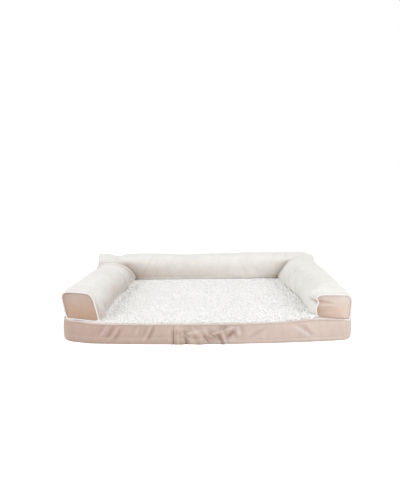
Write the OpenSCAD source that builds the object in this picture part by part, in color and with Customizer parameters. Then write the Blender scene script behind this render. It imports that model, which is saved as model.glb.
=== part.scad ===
// Bolstered pet bed: a foam pad in a zipped cover, with two stuffed arms and a stuffed back
// sewn on its rim. Millimetres. The origin is under the middle of the bed, on the floor.
// The open front faces -Y, the back bolster is at +Y, and +Z is up.

/* [Pad] */
// Width of the pad, over the piping
bed_w = 1016; // [900:2:1200]
// Depth of the pad, over the piping, from the middle of its bowed front
bed_d = 840; // [740:2:1000]
// How far the front edge bows out past its corners
front_bow = 26; // [14:1:40]
// Radius of the pad's corners
corner_r = 56; // [40:1:80]
// Height of the foam slab, to the tips of its bumps
foam_h = 58; // [45:1:80]
// Depth of the dips between the foam's bumps
foam_dip = 16; // [8:1:24]
// Spacing of the foam's bumps
bump_pitch = 66; // [55:1:90]
// Thickness of the non-slip sheet under the pad
bottom_t = 1.6; // [1:0.1:3]
// Thickness of the quilted plush panel where the bolsters lie on it
plush_t = 9; // [6:0.5:14]
// Height of the crown of the plush panel in its middle
crown_h = 5; // [2:0.5:10]
// Height of the plush panel's tufts
tuft_h = 3.5; // [1:0.5:6]
// Spacing of the rows of tufts
tuft_pitch = 62; // [50:1:90]

/* [Cover] */
// Thickness of the suede
suede_t = 2; // [1.2:0.1:3]
// Diameter of the piping round the top edge of the pad
piping_d = 7; // [4:0.5:10]
// How far the side band bulges out at its middle
band_bulge = 3; // [1:0.5:4]
// How far the middle of a side band's face stands back from the piping's outside
band_inset = 1.5; // [1:0.5:4]
// How far the back band's face stands back from the piping's outside
back_inset = 6.5; // [5.5:0.5:10]
// Distance of the band's upright seam from the middle of the front, to the left
seam_x = 123; // [60:1:200]
// Depth of the deepest pucker beside that seam
pucker = 4; // [1:0.5:6]

/* [Bolsters] */
// Height of the arms and the back above the plush panel
bolster_h = 108; // [80:1:140]
// Width of an arm at its front end
arm_w = 112; // [95:1:150]
// Width that an arm gains between its front end and the back
arm_swell = 42; // [20:1:80]
// How far an arm leans out over its height
arm_lean = 13; // [0:1:20]
// How far the front ends of the arms stand back from the corners of the front edge
arm_setback = 12; // [8:1:40]
// Front-to-back thickness of the back bolster
back_w = 140; // [110:1:170]
// How far the bolsters stand in from the side and back edges of the pad
bolster_inset = 4; // [2:1:20]
// How far the back bolster's ends stand in from the arms' outer sides
back_end_inset = 12; // [4:1:30]
// Roundness of a bolster's section, where 2 is an ellipse and more is squarer
section_power = 2.9; // [2.3:0.1:4]
// How far the bolster's round section is pressed flat on the pad
flat_press = 16; // [8:1:24]
// How much narrower a bolster is at a seamed end than a thumb's length behind it
end_tuck = 13; // [3:0.5:16]
// Crown of the round end panels
panel_crown = 5; // [2:0.5:10]
// Diameter of the piping round the end panels
end_piping_d = 5; // [3:0.5:7]

/* [Zip] */
// How far the zip's coils end short of the bends of the back corners
zip_short = 32; // [20:1:120]
// Height of the zip's middle above the floor
zip_z = 31; // [24:1:36]
// Width of the two coils together
coil_w = 6; // [4:0.5:8]
// Thickness of the coils
coil_t = 1.7; // [1.2:0.1:2.4]
// Width of each zip tape
tape_w = 14; // [10:0.5:18]
// Thickness of the zip tapes
tape_t = 0.8; // [0.5:0.1:1.2]
// Width of the slit between the bands' edges, where the coils show
slit_w = 13; // [12:0.5:18]
// Length of the slider
slider_l = 15; // [10:0.5:20]
// Width of the slider's plates
slider_w = 10; // [8:0.5:11]
// Thickness of the slider's plates
plate_t = 1.2; // [1:0.1:1.6]
// Length of the pull tab
pull_l = 26; // [18:1:40]
// Width of the pull tab
pull_w = 8; // [6:0.5:10]
// Diameter of the pin that the pull tab turns on
pin_d = 1.2; // [1:0.1:1.6]

/* [Hidden] */

ivory = "#ebe9e5";
taupe = "#cbb8ad";
plush_white = "#f4f3f0";
piping_white = "#e9e5e0";
gap = 0.3;                 // clearance between soft pieces that lie on each other
ring_n = 20;               // sides of a bolster's section
arm_rows = 11;             // sections along an arm
back_rows = 13;            // sections along the back bolster
cap_sizes = [1, 0.93, 0.8, 0.5]; // sizes of the rings from a section's rim to its middle
cap_share = 0.45;          // share of a bolster's height at which those rings gather
lean_share = 0.75;         // share of its height at which an arm's lean is nought

// Heights of the layers
foam_z = bottom_t + gap;
plush_z = foam_z + foam_h + gap;
deck_z = plush_z + plush_t;
bolster_z = deck_z + gap;
crest_z = bolster_z + bolster_h;
piping_r = piping_d / 2;
piping_z = deck_z - piping_r;
band_top = piping_z - piping_r - gap;

// The pad's outline is two straight sides, a straight back, four corner arcs and a bowed front,
// each with its own centre, so that an inset of it keeps the same centres.
half_w = bed_w / 2;
half_d = bed_d / 2;
corner_x = half_w - corner_r;
back_corner_y = half_d - corner_r;
bow_q = (corner_x * corner_x + front_bow * front_bow) / (2 * front_bow);
bow_r = bow_q + corner_r;
bow_y = -half_d + bow_r;
front_corner_y = -half_d + corner_r + front_bow;
bow_a = asin(corner_x / bow_q);

// A station is [x, y, normal x, normal y] on the outline.
function arc_station(cx, cy, r, a) = [cx + r * cos(a), cy + r * sin(a), cos(a), sin(a)];
function front_station(x) = arc_station(0, bow_y, bow_r, -90 + asin(x / bow_r));
function inset_point(s, d) = [s[0] - d * s[2], s[1] - d * s[3]];
front_junction = bow_r * sin(bow_a);
corner_steps = 5;

// Where the outline, drawn in by d, lies at a given x
function front_y(x, d) =
    abs(x) <= (bow_r - d) * sin(bow_a) ? bow_y - sqrt(pow(bow_r - d, 2) - x * x)
    : front_corner_y - sqrt(max(0, pow(corner_r - d, 2) - pow(abs(x) - corner_x, 2)));
function back_y(x, d) =
    abs(x) <= corner_x ? half_d - d
    : back_corner_y + sqrt(max(0, pow(corner_r - d, 2) - pow(abs(x) - corner_x, 2)));

// Triangles between rings of n points each, numbered from first
function rows(first, count, n, out) = [for (r = [0 : count - 2]) for (j = [0 : n - 1])
    let (a = first + r * n + j, b = first + r * n + (j + 1) % n)
    for (f = out ? [[a, b, b + n], [a, b + n, a + n]] : [[a, b + n, b], [a, a + n, b + n]]) f];
function fan(first, n, tip, out) = [for (j = [0 : n - 1])
    let (a = first + j, b = first + (j + 1) % n) out ? [a, b, tip] : [a, tip, b]];
function flat(lists) = [for (one = lists) for (p = one) p];

// A closed body through rings, with a middle point at each end
module loft(rings, start, end) {
    n = len(rings[0]);
    m = len(rings);
    polyhedron(points = concat(flat(rings), [start, end]),
        faces = concat(rows(0, m, n, true), fan(0, n, m * n, false),
            fan((m - 1) * n, n, m * n + 1, true)));
}

// A skin with a thickness, open at both ends
module sleeve(outer, inner) {
    n = len(outer[0]);
    m = len(outer);
    k = m * n;
    polyhedron(points = concat(flat(outer), flat(inner)),
        faces = concat(rows(0, m, n, true), rows(k, m, n, false),
            [for (j = [0 : n - 1]) let (a = j, b = (j + 1) % n)
                for (f = [[a, b + k, b], [a, a + k, b + k]]) f],
            [for (j = [0 : n - 1]) let (a = (m - 1) * n + j, b = (m - 1) * n + (j + 1) % n)
                for (f = [[a, b, b + k], [a, b + k, a + k]]) f]));
}

// A skin with a thickness, open at its first ring and closed at its last
module pouch(outer, outer_tip, inner, inner_tip) {
    n = len(outer[0]);
    m = len(outer);
    k = m * n + 1;
    polyhedron(points = concat(flat(outer), [outer_tip], flat(inner), [inner_tip]),
        faces = concat(rows(0, m, n, true), fan((m - 1) * n, n, m * n, true),
            rows(k, m, n, false), fan(k + (m - 1) * n, n, k + m * n, false),
            [for (j = [0 : n - 1]) let (a = j, b = (j + 1) % n)
                for (f = [[a, b + k, b], [a, a + k, b + k]]) f]));
}

// A tube that runs back into itself, through rings
module closed_tube(rings) {
    n = len(rings[0]);
    m = len(rings);
    polyhedron(points = flat(rings),
        faces = [for (r = [0 : m - 1]) for (j = [0 : n - 1])
            let (a = r * n + j, b = r * n + (j + 1) % n,
                c = ((r + 1) % m) * n + j, d = ((r + 1) % m) * n + (j + 1) % n)
            for (f = [[a, b, d], [a, d, c]]) f]);
}

// A slab that fills the outline, drawn in by d, with a flat underside and a shaped top
module slab(xs, steps, d, z_low, top) {
    nx = len(xs);
    ny = steps + 1;
    grid = [for (x = xs) for (j = [0 : steps])
        let (y = front_y(x, d) + (back_y(x, d) - front_y(x, d)) * j / steps) [x, y, top(x, y)]];
    rim = concat([for (i = [0 : nx - 2]) i * ny], [for (j = [0 : ny - 2]) (nx - 1) * ny + j],
        [for (i = [nx - 1 : -1 : 1]) i * ny + ny - 1], [for (j = [ny - 1 : -1 : 1]) j]);
    k = nx * ny;
    m = len(rim);
    low = [for (i = rim) [grid[i][0], grid[i][1], z_low]];
    polyhedron(points = concat(grid, low, [[0, 0, z_low]]),
        faces = concat(
            [for (i = [0 : nx - 2]) for (j = [0 : steps - 1])
                let (a = i * ny + j, b = a + 1, c = a + ny, e = c + 1)
                for (f = (i + j) % 2 == 0 ? [[a, b, e], [a, e, c]] : [[a, b, c], [b, e, c]]) f],
            [for (j = [0 : m - 1]) let (a = rim[j], b = rim[(j + 1) % m],
                c = k + j, e = k + (j + 1) % m) for (f = [[a, b, e], [a, e, c]]) f],
            [for (j = [0 : m - 1]) [k + j, k + (j + 1) % m, k + m]]));
}

// Where the columns of a slab's grid stand: even, with closer ones over the corners
function columns(d, count) = let (last = half_w - d)
    concat([for (s = [0, 0.35, 0.75]) -last + (last - corner_x) * s],
        [for (i = [0 : count]) -corner_x + 2 * corner_x * i / count],
        [for (s = [0.75, 0.35, 0]) last - (last - corner_x) * s]);

// Pad

module pad_outline(d) {
    polygon(concat(
        [for (i = [0 : 24]) inset_point(front_station(front_junction * (i / 12 - 1)), d)],
        [for (i = [1 : 8]) inset_point(arc_station(corner_x, front_corner_y, corner_r,
            -90 + bow_a + (90 - bow_a) * i / 8), d)],
        [for (i = [0 : 8]) inset_point(arc_station(corner_x, back_corner_y, corner_r,
            90 * i / 8), d)],
        [for (i = [0 : 8]) inset_point(arc_station(-corner_x, back_corner_y, corner_r,
            90 + 90 * i / 8), d)],
        [for (i = [0 : 7]) inset_point(arc_station(-corner_x, front_corner_y, corner_r,
            180 + (90 - bow_a) * i / 8), d)]));
}

module bottom_panel() {
    color("#8d837b") linear_extrude(bottom_t) pad_outline(band_inset + band_bulge);
}

foam_inset = max(back_inset, band_inset + band_bulge) + suede_t + tape_t + plate_t + 3 * gap;
foam_bumps = max(3, round((bed_w - 2 * foam_inset) / bump_pitch));
foam_rows = max(3, round((bed_d - 2 * foam_inset) / bump_pitch));

module foam_core() {
    span_x = bed_w - 2 * foam_inset;
    span_y = bed_d - 2 * foam_inset;
    color("#f2e6c4") slab(columns(foam_inset, 2 * foam_bumps), 2 * foam_rows, foam_inset, foam_z,
        function(x, y) foam_z + foam_h - foam_dip
            * (1 - cos(360 * foam_bumps * x / span_x) * cos(360 * foam_rows * y / span_y)) / 2);
}

// The plush panel is flat where the bolsters lie on it, and rises to rows of tufts between them.
arm_front = -half_d + front_bow + arm_setback;
open_back = half_d - bolster_inset - back_w - gap;
arm_length = open_back - arm_front;
function open_x(y) = let (s = max(0, min(1, (y - arm_front) / arm_length)))
    arm_mid(s) - arm_half(s) - arm_lean * lean_share - gap;
plush_edge = max(piping_d, back_inset + suede_t) + gap;
function ease(t) = let (c = max(0, min(1, t))) c * c * (3 - 2 * c);
side_rise = 50;            // length over which the plush rises from a bolster to its crown
front_rise = 60;           // and from its front edge
function well(x, y) = ease((open_x(y) - abs(x)) / side_rise) * ease((open_back - y) / side_rise)
    * ease((y - front_y(x, plush_edge)) / front_rise);
function tuft(x, y) = let (row = floor(y / tuft_pitch))
    abs(sin(180 * y / tuft_pitch)) * (0.6 + 0.4 * cos(360 * x / tuft_pitch + 180 * row));

module sleep_panel() {
    color(plush_white) slab(columns(plush_edge, 28), 27, plush_edge, plush_z,
        function(x, y) deck_z + well(x, y) * (crown_h + tuft_h * tuft(x, y)));
}

// Side bands

// Folds of the front band: x at its foot, lean over its height, half width and depth
folds = [[-seam_x, 3, 5, -1], [-seam_x + 42, -16, 9, -0.8], [-seam_x + 62, 10, 14, 0.6],
    [-seam_x + 96, -34, 12, -0.7], [-seam_x + 150, 22, 18, 0.8], [-seam_x + 178, 16, 9, -0.9],
    [-seam_x + 210, 10, 18, 0.6], [-seam_x + 246, 8, 10, -0.5], [-seam_x - 236, 40, 20, -0.3],
    [-seam_x + 450, -60, 24, -0.3]];
function fold_sum(x, v) = pucker * sin(180 * v) * (0.35 + 0.65 * v)
    * [for (f = folds) f[3] * exp(-pow((x - f[0] - f[1] * v) / f[2], 2))]
    * [for (f = folds) 1];

// The band's face at height v from 0 to 1: tucked in at the foot, bulging in the middle
function band_face(v) = band_inset + band_bulge * (1 - pow(sin(180 * min(1, 0.12 + v * 0.82)), 0.7));
band_heights = [0, 0.12, 0.3, 0.55, 0.8, 1];
function band_ring(s) = let (bare = abs(s[3] + 1) > 0.02 || abs(s[0]) > corner_x ? 0 : 1,
    push = [for (v = band_heights) bare * min(0, fold_sum(s[0], v)) + bare * 0.35
        * max(0, fold_sum(s[0], v))])
    concat(
        [for (i = [0 : len(band_heights) - 1]) let (v = band_heights[i],
            p = inset_point(s, band_face(v) - push[i]))
            [p[0], p[1], bottom_t + (band_top - bottom_t) * v]],
        [for (i = [len(band_heights) - 1 : -1 : 0]) let (v = band_heights[i],
            p = inset_point(s, band_face(v) - push[i] + suede_t))
            [p[0], p[1], bottom_t + (band_top - bottom_t) * v]]);

module band(stations) {
    rings = [for (s = stations) band_ring(s)];
    n = len(rings[0]);
    m = len(rings);
    half = n / 2;
    polyhedron(points = flat(rings), faces = concat(rows(0, m, n, false),
        [for (i = [0 : half - 2]) for (f = [[i, i + 1, n - 2 - i], [i, n - 2 - i, n - 1 - i]]) f],
        [for (i = [0 : half - 2]) let (k = (m - 1) * n)
            for (f = [[k + i, k + n - 2 - i, k + i + 1], [k + i, k + n - 1 - i, k + n - 2 - i]]) f]));
}

seam_gap = gap / 2;
function side_arc(sign, cy, a0, a1) = [for (i = [0 : corner_steps])
    let (s = arc_station(corner_x, cy, corner_r, a0 + (a1 - a0) * i / corner_steps))
    [sign * s[0], s[1], sign * s[2], s[3]]];

module left_band() {
    fold_step = 14;
    near = 120;
    xs = concat([for (i = [4 : -1 : 0]) -seam_x - near - (front_junction - seam_x - near) * i / 4],
        [for (x = [-seam_x - near + fold_step : fold_step : -seam_x - 8]) x], [-seam_x - seam_gap]);
    color(taupe) band(concat(side_arc(-1, back_corner_y, 90, 0),
        side_arc(-1, front_corner_y, 0, -90 + bow_a), [for (i = [1 : len(xs) - 1])
            front_station(xs[i])]));
}

module right_band() {
    fold_step = 9;
    far = 280;
    xs = concat([-seam_x + seam_gap], [for (x = [-seam_x + 8 : fold_step : -seam_x + far]) x],
        [for (i = [1 : 5]) -seam_x + far + (front_junction + seam_x - far) * i / 5]);
    color(taupe) band(concat([for (i = [0 : len(xs) - 2]) front_station(xs[i])],
        side_arc(1, front_corner_y, -90 + bow_a, 0), side_arc(1, back_corner_y, 0, 90)));
}

back_face = half_d - back_inset;
back_len = 2 * corner_x - 2 * seam_gap;
slit_low = zip_z - slit_w / 2;
slit_high = zip_z + slit_w / 2;

module back_strip(z0, z1) {
    translate([-back_len / 2, back_face - suede_t, z0]) cube([back_len, suede_t, z1 - z0]);
}

module back_band_upper() {
    color(taupe) back_strip(slit_high, band_top);
}

module back_band_lower() {
    color(taupe) back_strip(bottom_t, slit_low);
}

// Piping round the top edge of the pad

piping_sides = 8;
function piping_ring(s) = let (p = inset_point(s, piping_r))
    [for (j = [0 : piping_sides - 1]) let (a = 360 * j / piping_sides)
        [p[0] + s[2] * piping_r * cos(a), p[1] + s[3] * piping_r * cos(a),
            piping_z + piping_r * sin(a)]];
pad_loop = concat(
    [for (i = [0 : 11]) front_station(front_junction * (i / 6 - 1))],
    side_arc(1, front_corner_y, -90 + bow_a, 0), side_arc(1, back_corner_y, 0, 90),
    side_arc(-1, back_corner_y, 90, 0),
    [for (i = [0 : corner_steps - 1]) side_arc(-1, front_corner_y, 0, -90 + bow_a)[i]]);

module top_piping() {
    color(piping_white) closed_tube([for (s = pad_loop) piping_ring(s)]);
}

// Bolsters

function swell(c) = sign(c) * pow(abs(c), 2 / section_power);
press_b = (bolster_h + flat_press) / 2;
press_z = crest_z - press_b;

// A bolster's section, drawn in by d: half width a, height factor k, angle t. The section is
// round above and pressed flat below, and its lean moves it across as it rises.
function section_z(t, k, d) = max(bolster_z + d,
    bolster_z + (press_z - bolster_z) * k + (press_b * k - d) * swell(sin(t)));
function section_u(t, a, d) = (a - d) * swell(cos(t));

// The front face of the back bolster at height z, at its full section
back_mid = half_d - bolster_inset - back_w / 2;
function back_front(z) = back_mid - back_w / 2
    * pow(max(0, 1 - pow(min(1, abs(z - press_z) / press_b), section_power)), 1 / section_power);

// How the arm changes along its length s from 0 at the front end to 1 at the back bolster
tuck_len = 0.085;          // share of the arm that narrows towards its seamed end
rim_drop = 0.3;            // how much of that narrowing also lowers the arm
side_draw = 0.4;           // how much of it also draws the arm's outer side in
swell_from = 0.35;         // where the arm starts to widen
dip_from = 0.72;           // where its crest starts to dip towards the back
rear_dip = 0.04;           // how far it dips, as a share of its height
arm_clear = 2.2;           // clearance between the arm's rear end and the back bolster
rear_clear = 1.5;          // how much faster an inner skin draws away from it
function arm_tuck(s) = end_tuck * pow(max(0, 1 - s / tuck_len), 2);
function arm_k(s) = 1 - rim_drop * arm_tuck(s) / bolster_h
    - rear_dip * ease((s - dip_from) / (1 - dip_from));
function arm_half(s) = (arm_w + arm_swell * ease((s - swell_from) / (1 - swell_from))) / 2
    + end_tuck - arm_tuck(s);
function arm_mid(s) = half_w - bolster_inset - arm_half(s) - side_draw * arm_tuck(s);
function arm_point(s, t, d, r) = let (z0 = section_z(t, arm_k(s), d),
    u0 = section_u(t, arm_half(s), d), zm = bolster_z + bolster_h * cap_share,
    z = zm + (z0 - zm) * r, u = u0 * r,
    rear = back_front(z) - arm_clear - d * rear_clear)
    [arm_mid(s) + u + arm_lean * ((z - bolster_z) / bolster_h - lean_share),
        arm_front + (rear - arm_front) * s, z];
// Its sections stand closer together towards the seamed end.
arm_s = [for (i = [0 : arm_rows]) let (x = i / arm_rows) 0.12 * x + 0.88 * x * x * (1.8 - 0.8 * x)];
function arm_rings(d) = concat(
    [for (s = arm_s) [for (j = [0 : ring_n - 1]) arm_point(s, 360 * j / ring_n, d, 1)]],
    [for (c = [1 : len(cap_sizes) - 1]) [for (j = [0 : ring_n - 1])
        arm_point(1, 360 * j / ring_n, d, cap_sizes[c])]]);

module right_cover() {
    pouch(arm_rings(0), arm_point(1, 0, 0, 0), arm_rings(suede_t), arm_point(1, 0, suede_t, 0));
}

module left_arm_cover() {
    color(ivory) mirror([1, 0, 0]) right_cover();
}

module right_arm_cover() {
    color(ivory) right_cover();
}

// The stuffing fills its cover, clear of the skin and of the end panel.
fill_d = suede_t + 1.5 * gap;
module arm_fill() {
    rings = arm_rings(fill_d);
    shift = [0, suede_t + gap, 0];
    ready = concat([[for (p = rings[0]) p + shift]], [for (i = [1 : len(rings) - 1]) rings[i]]);
    loft(ready, arm_point(0, 0, fill_d, 0) + shift, arm_point(1, 0, fill_d, 0));
}

module left_arm_fill() {
    color("#fbfaf6") mirror([1, 0, 0]) arm_fill();
}

module right_arm_fill() {
    color("#fbfaf6") arm_fill();
}

// An end panel is a shallow dish that closes a cover's end: rim is the cover's first ring.
dish_sizes = [1, 0.7, 0.35];
dish_rows = len(dish_sizes);
function dish(rim, mid, out, lift) = [for (r = dish_sizes)
    [for (p = rim) mid + (p - mid) * r + out * (lift + panel_crown * (1 - r * r))]];
module end_dish(rim, mid, out) {
    face = dish(rim, mid, out, suede_t);
    tip = mid + out * (suede_t + panel_crown);
    low = dish(rim, mid, out, 0);
    low_tip = mid + out * panel_crown;
    n = len(rim);
    k = dish_rows * n + 1;
    polyhedron(points = concat(flat(face), [tip], flat(low), [low_tip]),
        faces = concat(rows(0, dish_rows, n, true), fan((dish_rows - 1) * n, n, dish_rows * n, true),
            rows(k, dish_rows, n, false), fan(k + (dish_rows - 1) * n, n, k + dish_rows * n, false),
            [for (j = [0 : n - 1]) let (a = j, b = (j + 1) % n)
                for (f = [[a, b + k, b], [a, a + k, b + k]]) f]));
}

// Piping along a cover's end: a tube that follows rim, a section drawn in by the tube's radius
piping_edge = 6;
end_piping_r = end_piping_d / 2;
module rim_piping(rim, out) {
    n = len(rim);
    closed_tube([for (j = [0 : n - 1]) let (p = rim[j], side = rim[(j + 1) % n] - rim[(j + n - 1) % n],
        across = cross(side, out), w = across / norm(across))
        [for (i = [0 : piping_edge - 1]) let (a = 360 * i / piping_edge)
            p + end_piping_r * (w * cos(a) + out * (sin(a) + 1)) + out * gap]]);
}

for_front = [0, -1, 0];
panel_edge = end_piping_d + gap;
arm_rim_mid = arm_point(0, 0, panel_edge, 0);

module right_panel() {
    end_dish([for (p = arm_rings(panel_edge)[0]) p + for_front * gap], arm_rim_mid + for_front * gap,
        for_front);
}

module left_arm_end_panel() {
    color(taupe) mirror([1, 0, 0]) right_panel();
}

module right_arm_end_panel() {
    color(taupe) right_panel();
}

module left_arm_piping() {
    color(piping_white) mirror([1, 0, 0]) rim_piping(arm_rings(end_piping_r)[0], for_front);
}

module right_arm_piping() {
    color(piping_white) rim_piping(arm_rings(end_piping_r)[0], for_front);
}

// Back bolster

back_half = half_w - bolster_inset - back_end_inset;
back_tuck_len = 60;        // length over which it narrows towards its seamed ends
back_sag = 0.015;          // how far its crest sags in the middle, as a share of its height
sag_run = 150;             // length over which the sag begins, inward of the arms
function back_tuck(x) = end_tuck * pow(max(0, 1 - (back_half - abs(x)) / back_tuck_len), 2);
function back_point(x, t, d, r) = let (e = back_tuck(x),
    k = 1 - rim_drop * e / bolster_h
        - back_sag * ease((arm_mid(1) - 2 * arm_half(1) - abs(x)) / sag_run),
    zm = bolster_z + bolster_h * cap_share)
    [x, back_mid + section_u(t, back_w / 2 - e, d) * r, zm + (section_z(t, k, d) - zm) * r];
back_x = [for (i = [0 : back_rows - 1]) let (q = 2 * i / (back_rows - 1) - 1)
    -back_half * sign(q) * pow(abs(q), 0.72)];
function back_ring(x, d) = [for (j = [0 : ring_n - 1]) back_point(x, 360 * j / ring_n, d, 1)];

module back_bolster_cover() {
    color(ivory) sleeve([for (x = back_x) back_ring(x, 0)], [for (x = back_x) back_ring(x, suede_t)]);
}

module back_bolster_fill() {
    trim = (back_half - suede_t - gap) / back_half;
    inner = [for (x = back_x) [for (p = back_ring(x, fill_d)) [p[0] * trim, p[1], p[2]]]];
    color("#fbfaf6") loft(inner, back_point(back_half, 0, fill_d, 0) - [(1 - trim) * back_half, 0, 0],
        back_point(-back_half, 0, fill_d, 0) + [(1 - trim) * back_half, 0, 0]);
}

for_right = [1, 0, 0];
back_rim_mid = back_point(back_half, 0, panel_edge, 0);

module back_panel() {
    end_dish([for (p = back_ring(back_half, panel_edge)) p + for_right * gap],
        back_rim_mid + for_right * gap, for_right);
}

module back_left_end_panel() {
    color(taupe) mirror([1, 0, 0]) back_panel();
}

module back_right_end_panel() {
    color(taupe) back_panel();
}

module back_left_piping() {
    color(piping_white) mirror([1, 0, 0]) rim_piping(back_ring(back_half, end_piping_r), for_right);
}

module back_right_piping() {
    color(piping_white) rim_piping(back_ring(back_half, end_piping_r), for_right);
}

// Zip in the back band. Its tapes are sewn behind the two bands, and its coils lie on the tapes.
// The coils are modelled closed, a web's width apart, so that the slider's web runs between them.

zip_l = 2 * (corner_x - zip_short);
tape_y = back_face - suede_t;
web_t = 0.8;               // thickness of the slider's web
run_clear = 0.25;          // clearance of the slider's moving parts
coil_edge = web_t / 2 + run_clear;
tape_end = 12;             // how far the tapes run on past the coils
stop_l = 3;                // length of a stop
zip_metal = "#c9c6c2";

module tape_strip() {
    translate([-zip_l / 2 - tape_end, tape_y - tape_t, 0]) cube([zip_l + 2 * tape_end, tape_t, tape_w]);
}

module zip_upper_tape() {
    color("#c7b6ac") translate([0, 0, zip_z + coil_edge]) tape_strip();
}

module zip_lower_tape() {
    color("#c7b6ac") translate([0, 0, zip_z - coil_edge - tape_w]) tape_strip();
}

module coil_bar() {
    bevel = coil_t / 4;
    translate([-zip_l / 2, tape_y, 0]) rotate([90, 0, 90]) linear_extrude(zip_l)
        polygon([[0, coil_edge], [coil_t, coil_edge], [coil_t, coil_w / 2 - bevel],
            [coil_t - bevel, coil_w / 2], [0, coil_w / 2]]);
}

module zip_upper_coil() {
    color("#d8cbc3") translate([0, 0, zip_z]) coil_bar();
}

module zip_lower_coil() {
    color("#d8cbc3") translate([0, 0, zip_z]) mirror([0, 0, 1]) coil_bar();
}

module end_stop(x) {
    translate([x, tape_y, zip_z - coil_w / 2]) cube([stop_l, coil_t + gap, coil_w]);
}

module zip_left_stop() {
    color(zip_metal) end_stop(-zip_l / 2 - stop_l);
}

module zip_right_stop() {
    color(zip_metal) end_stop(zip_l / 2);
}

// The slider rests at the closed end, on the right, with its pull lying to the left.
slider_x = zip_l / 2 - slider_l / 2 - run_clear;
plate_in = tape_y - tape_t - run_clear - plate_t;
plate_out = tape_y + coil_t + run_clear;
eye_wall = 1.1;            // wall of the pull tab's eye round its pin
eye_r = pin_d / 2 + eye_wall;
pin_y = plate_out + plate_t + gap + eye_r;
eye_w = pull_w / 2;
lug_t = 1.2;               // thickness of the lugs that hold the pin
tab_t = 1.2;               // thickness of the pull tab
flange_t = 0.8;            // thickness of the slider's flanges
neck_run = 3;              // length of the pull tab's neck past its eye
pin_play = 0.3;            // play of the eye on its pin

module zip_slider() {
    color(zip_metal) union() {
        translate([slider_x - slider_l / 2, plate_out, zip_z - slider_w / 2])
            cube([slider_l, plate_t, slider_w]);
        translate([slider_x - slider_l / 2, plate_in, zip_z - slider_w / 2])
            cube([slider_l, plate_t, slider_w]);
        translate([slider_x - slider_l / 4, plate_in + plate_t / 2, zip_z - web_t / 2])
            cube([slider_l / 2, plate_out - plate_in, web_t]);
        for (side = [-1, 1])
            translate([slider_x, 0, zip_z + side * (slider_w - flange_t) / 2])
                translate([-slider_l / 2, tape_y + run_clear, -flange_t / 2])
                cube([slider_l, plate_out - tape_y - run_clear + plate_t / 2, flange_t]);
        for (side = [-1, 1])
            translate([slider_x, 0, zip_z + side * (eye_w / 2 + run_clear + lug_t / 2)])
                translate([0, 0, -lug_t / 2]) linear_extrude(lug_t) union() {
                    translate([0, pin_y]) circle(r = eye_r, $fn = 40);
                    translate([-eye_r, plate_out + plate_t / 2])
                        square([2 * eye_r, pin_y - plate_out - plate_t / 2]);
                }
        translate([slider_x, pin_y, zip_z - eye_w / 2 - run_clear - lug_t / 2])
            cylinder(d = pin_d, h = eye_w + 2 * run_clear + lug_t, $fn = 32);
    }
}

module zip_pull() {
    neck_l = eye_r + neck_run;
    color(zip_metal) difference() {
        union() {
            translate([slider_x, pin_y, zip_z - eye_w / 2]) cylinder(r = eye_r, h = eye_w, $fn = 40);
            translate([slider_x - neck_l - 1, pin_y - tab_t / 2, zip_z - eye_w / 2])
                cube([neck_l + 1, tab_t, eye_w]);
            translate([slider_x - pull_l + pull_w / 2, pin_y - tab_t / 2, zip_z - pull_w / 2])
                cube([pull_l - neck_l - pull_w / 2, tab_t, pull_w]);
            translate([slider_x - pull_l + pull_w / 2, pin_y + tab_t / 2, zip_z])
                rotate([90, 0, 0]) cylinder(d = pull_w, h = tab_t, $fn = 48);
        }
        translate([slider_x, pin_y, zip_z - eye_w]) cylinder(d = pin_d + pin_play, h = 2 * eye_w, $fn = 32);
        translate([slider_x - pull_l + pull_w / 2, pin_y + tab_t, zip_z])
            rotate([90, 0, 0]) cylinder(d = pull_w / 2, h = 2 * tab_t, $fn = 32);
    }
}

bottom_panel();
foam_core();
sleep_panel();
left_band();
right_band();
back_band_upper();
back_band_lower();
top_piping();
left_arm_cover();
right_arm_cover();
back_bolster_cover();
left_arm_fill();
right_arm_fill();
back_bolster_fill();
left_arm_end_panel();
right_arm_end_panel();
back_left_end_panel();
back_right_end_panel();
left_arm_piping();
right_arm_piping();
back_left_piping();
back_right_piping();
zip_upper_tape();
zip_lower_tape();
zip_upper_coil();
zip_lower_coil();
zip_left_stop();
zip_right_stop();
zip_slider();
zip_pull();
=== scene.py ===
"""Bolstered pet bed: the visible forms and finishes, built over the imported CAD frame."""

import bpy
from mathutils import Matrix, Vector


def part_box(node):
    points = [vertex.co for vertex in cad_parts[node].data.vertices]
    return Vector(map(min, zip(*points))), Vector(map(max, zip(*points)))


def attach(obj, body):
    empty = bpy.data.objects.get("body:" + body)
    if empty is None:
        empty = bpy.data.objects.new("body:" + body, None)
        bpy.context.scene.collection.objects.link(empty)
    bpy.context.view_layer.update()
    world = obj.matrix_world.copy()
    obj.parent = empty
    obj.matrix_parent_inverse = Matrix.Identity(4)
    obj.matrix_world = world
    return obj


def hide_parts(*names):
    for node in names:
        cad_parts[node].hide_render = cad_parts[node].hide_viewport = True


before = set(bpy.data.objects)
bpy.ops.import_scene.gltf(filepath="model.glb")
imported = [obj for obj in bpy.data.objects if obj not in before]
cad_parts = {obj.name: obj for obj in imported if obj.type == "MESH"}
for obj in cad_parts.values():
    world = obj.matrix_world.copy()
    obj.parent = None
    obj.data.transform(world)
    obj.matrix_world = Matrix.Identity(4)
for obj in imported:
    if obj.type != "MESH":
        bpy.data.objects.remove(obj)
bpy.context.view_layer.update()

import math

import bmesh
import bpy
import numpy as np
from bpy.props import FloatProperty, FloatVectorProperty, IntProperty, PointerProperty
from mathutils import Matrix, Vector, noise

bl_info = {
    "name": "Bolstered Pet Bed",
    "version": (1, 0, 0),
    "blender": (4, 5, 0),
    "location": "View3D > Sidebar > Pet Bed",
    "description": "Builds a bolstered pet bed with stuffed arms, a plush pad and a zipped cover",
    "category": "Add Mesh",
}

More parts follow.
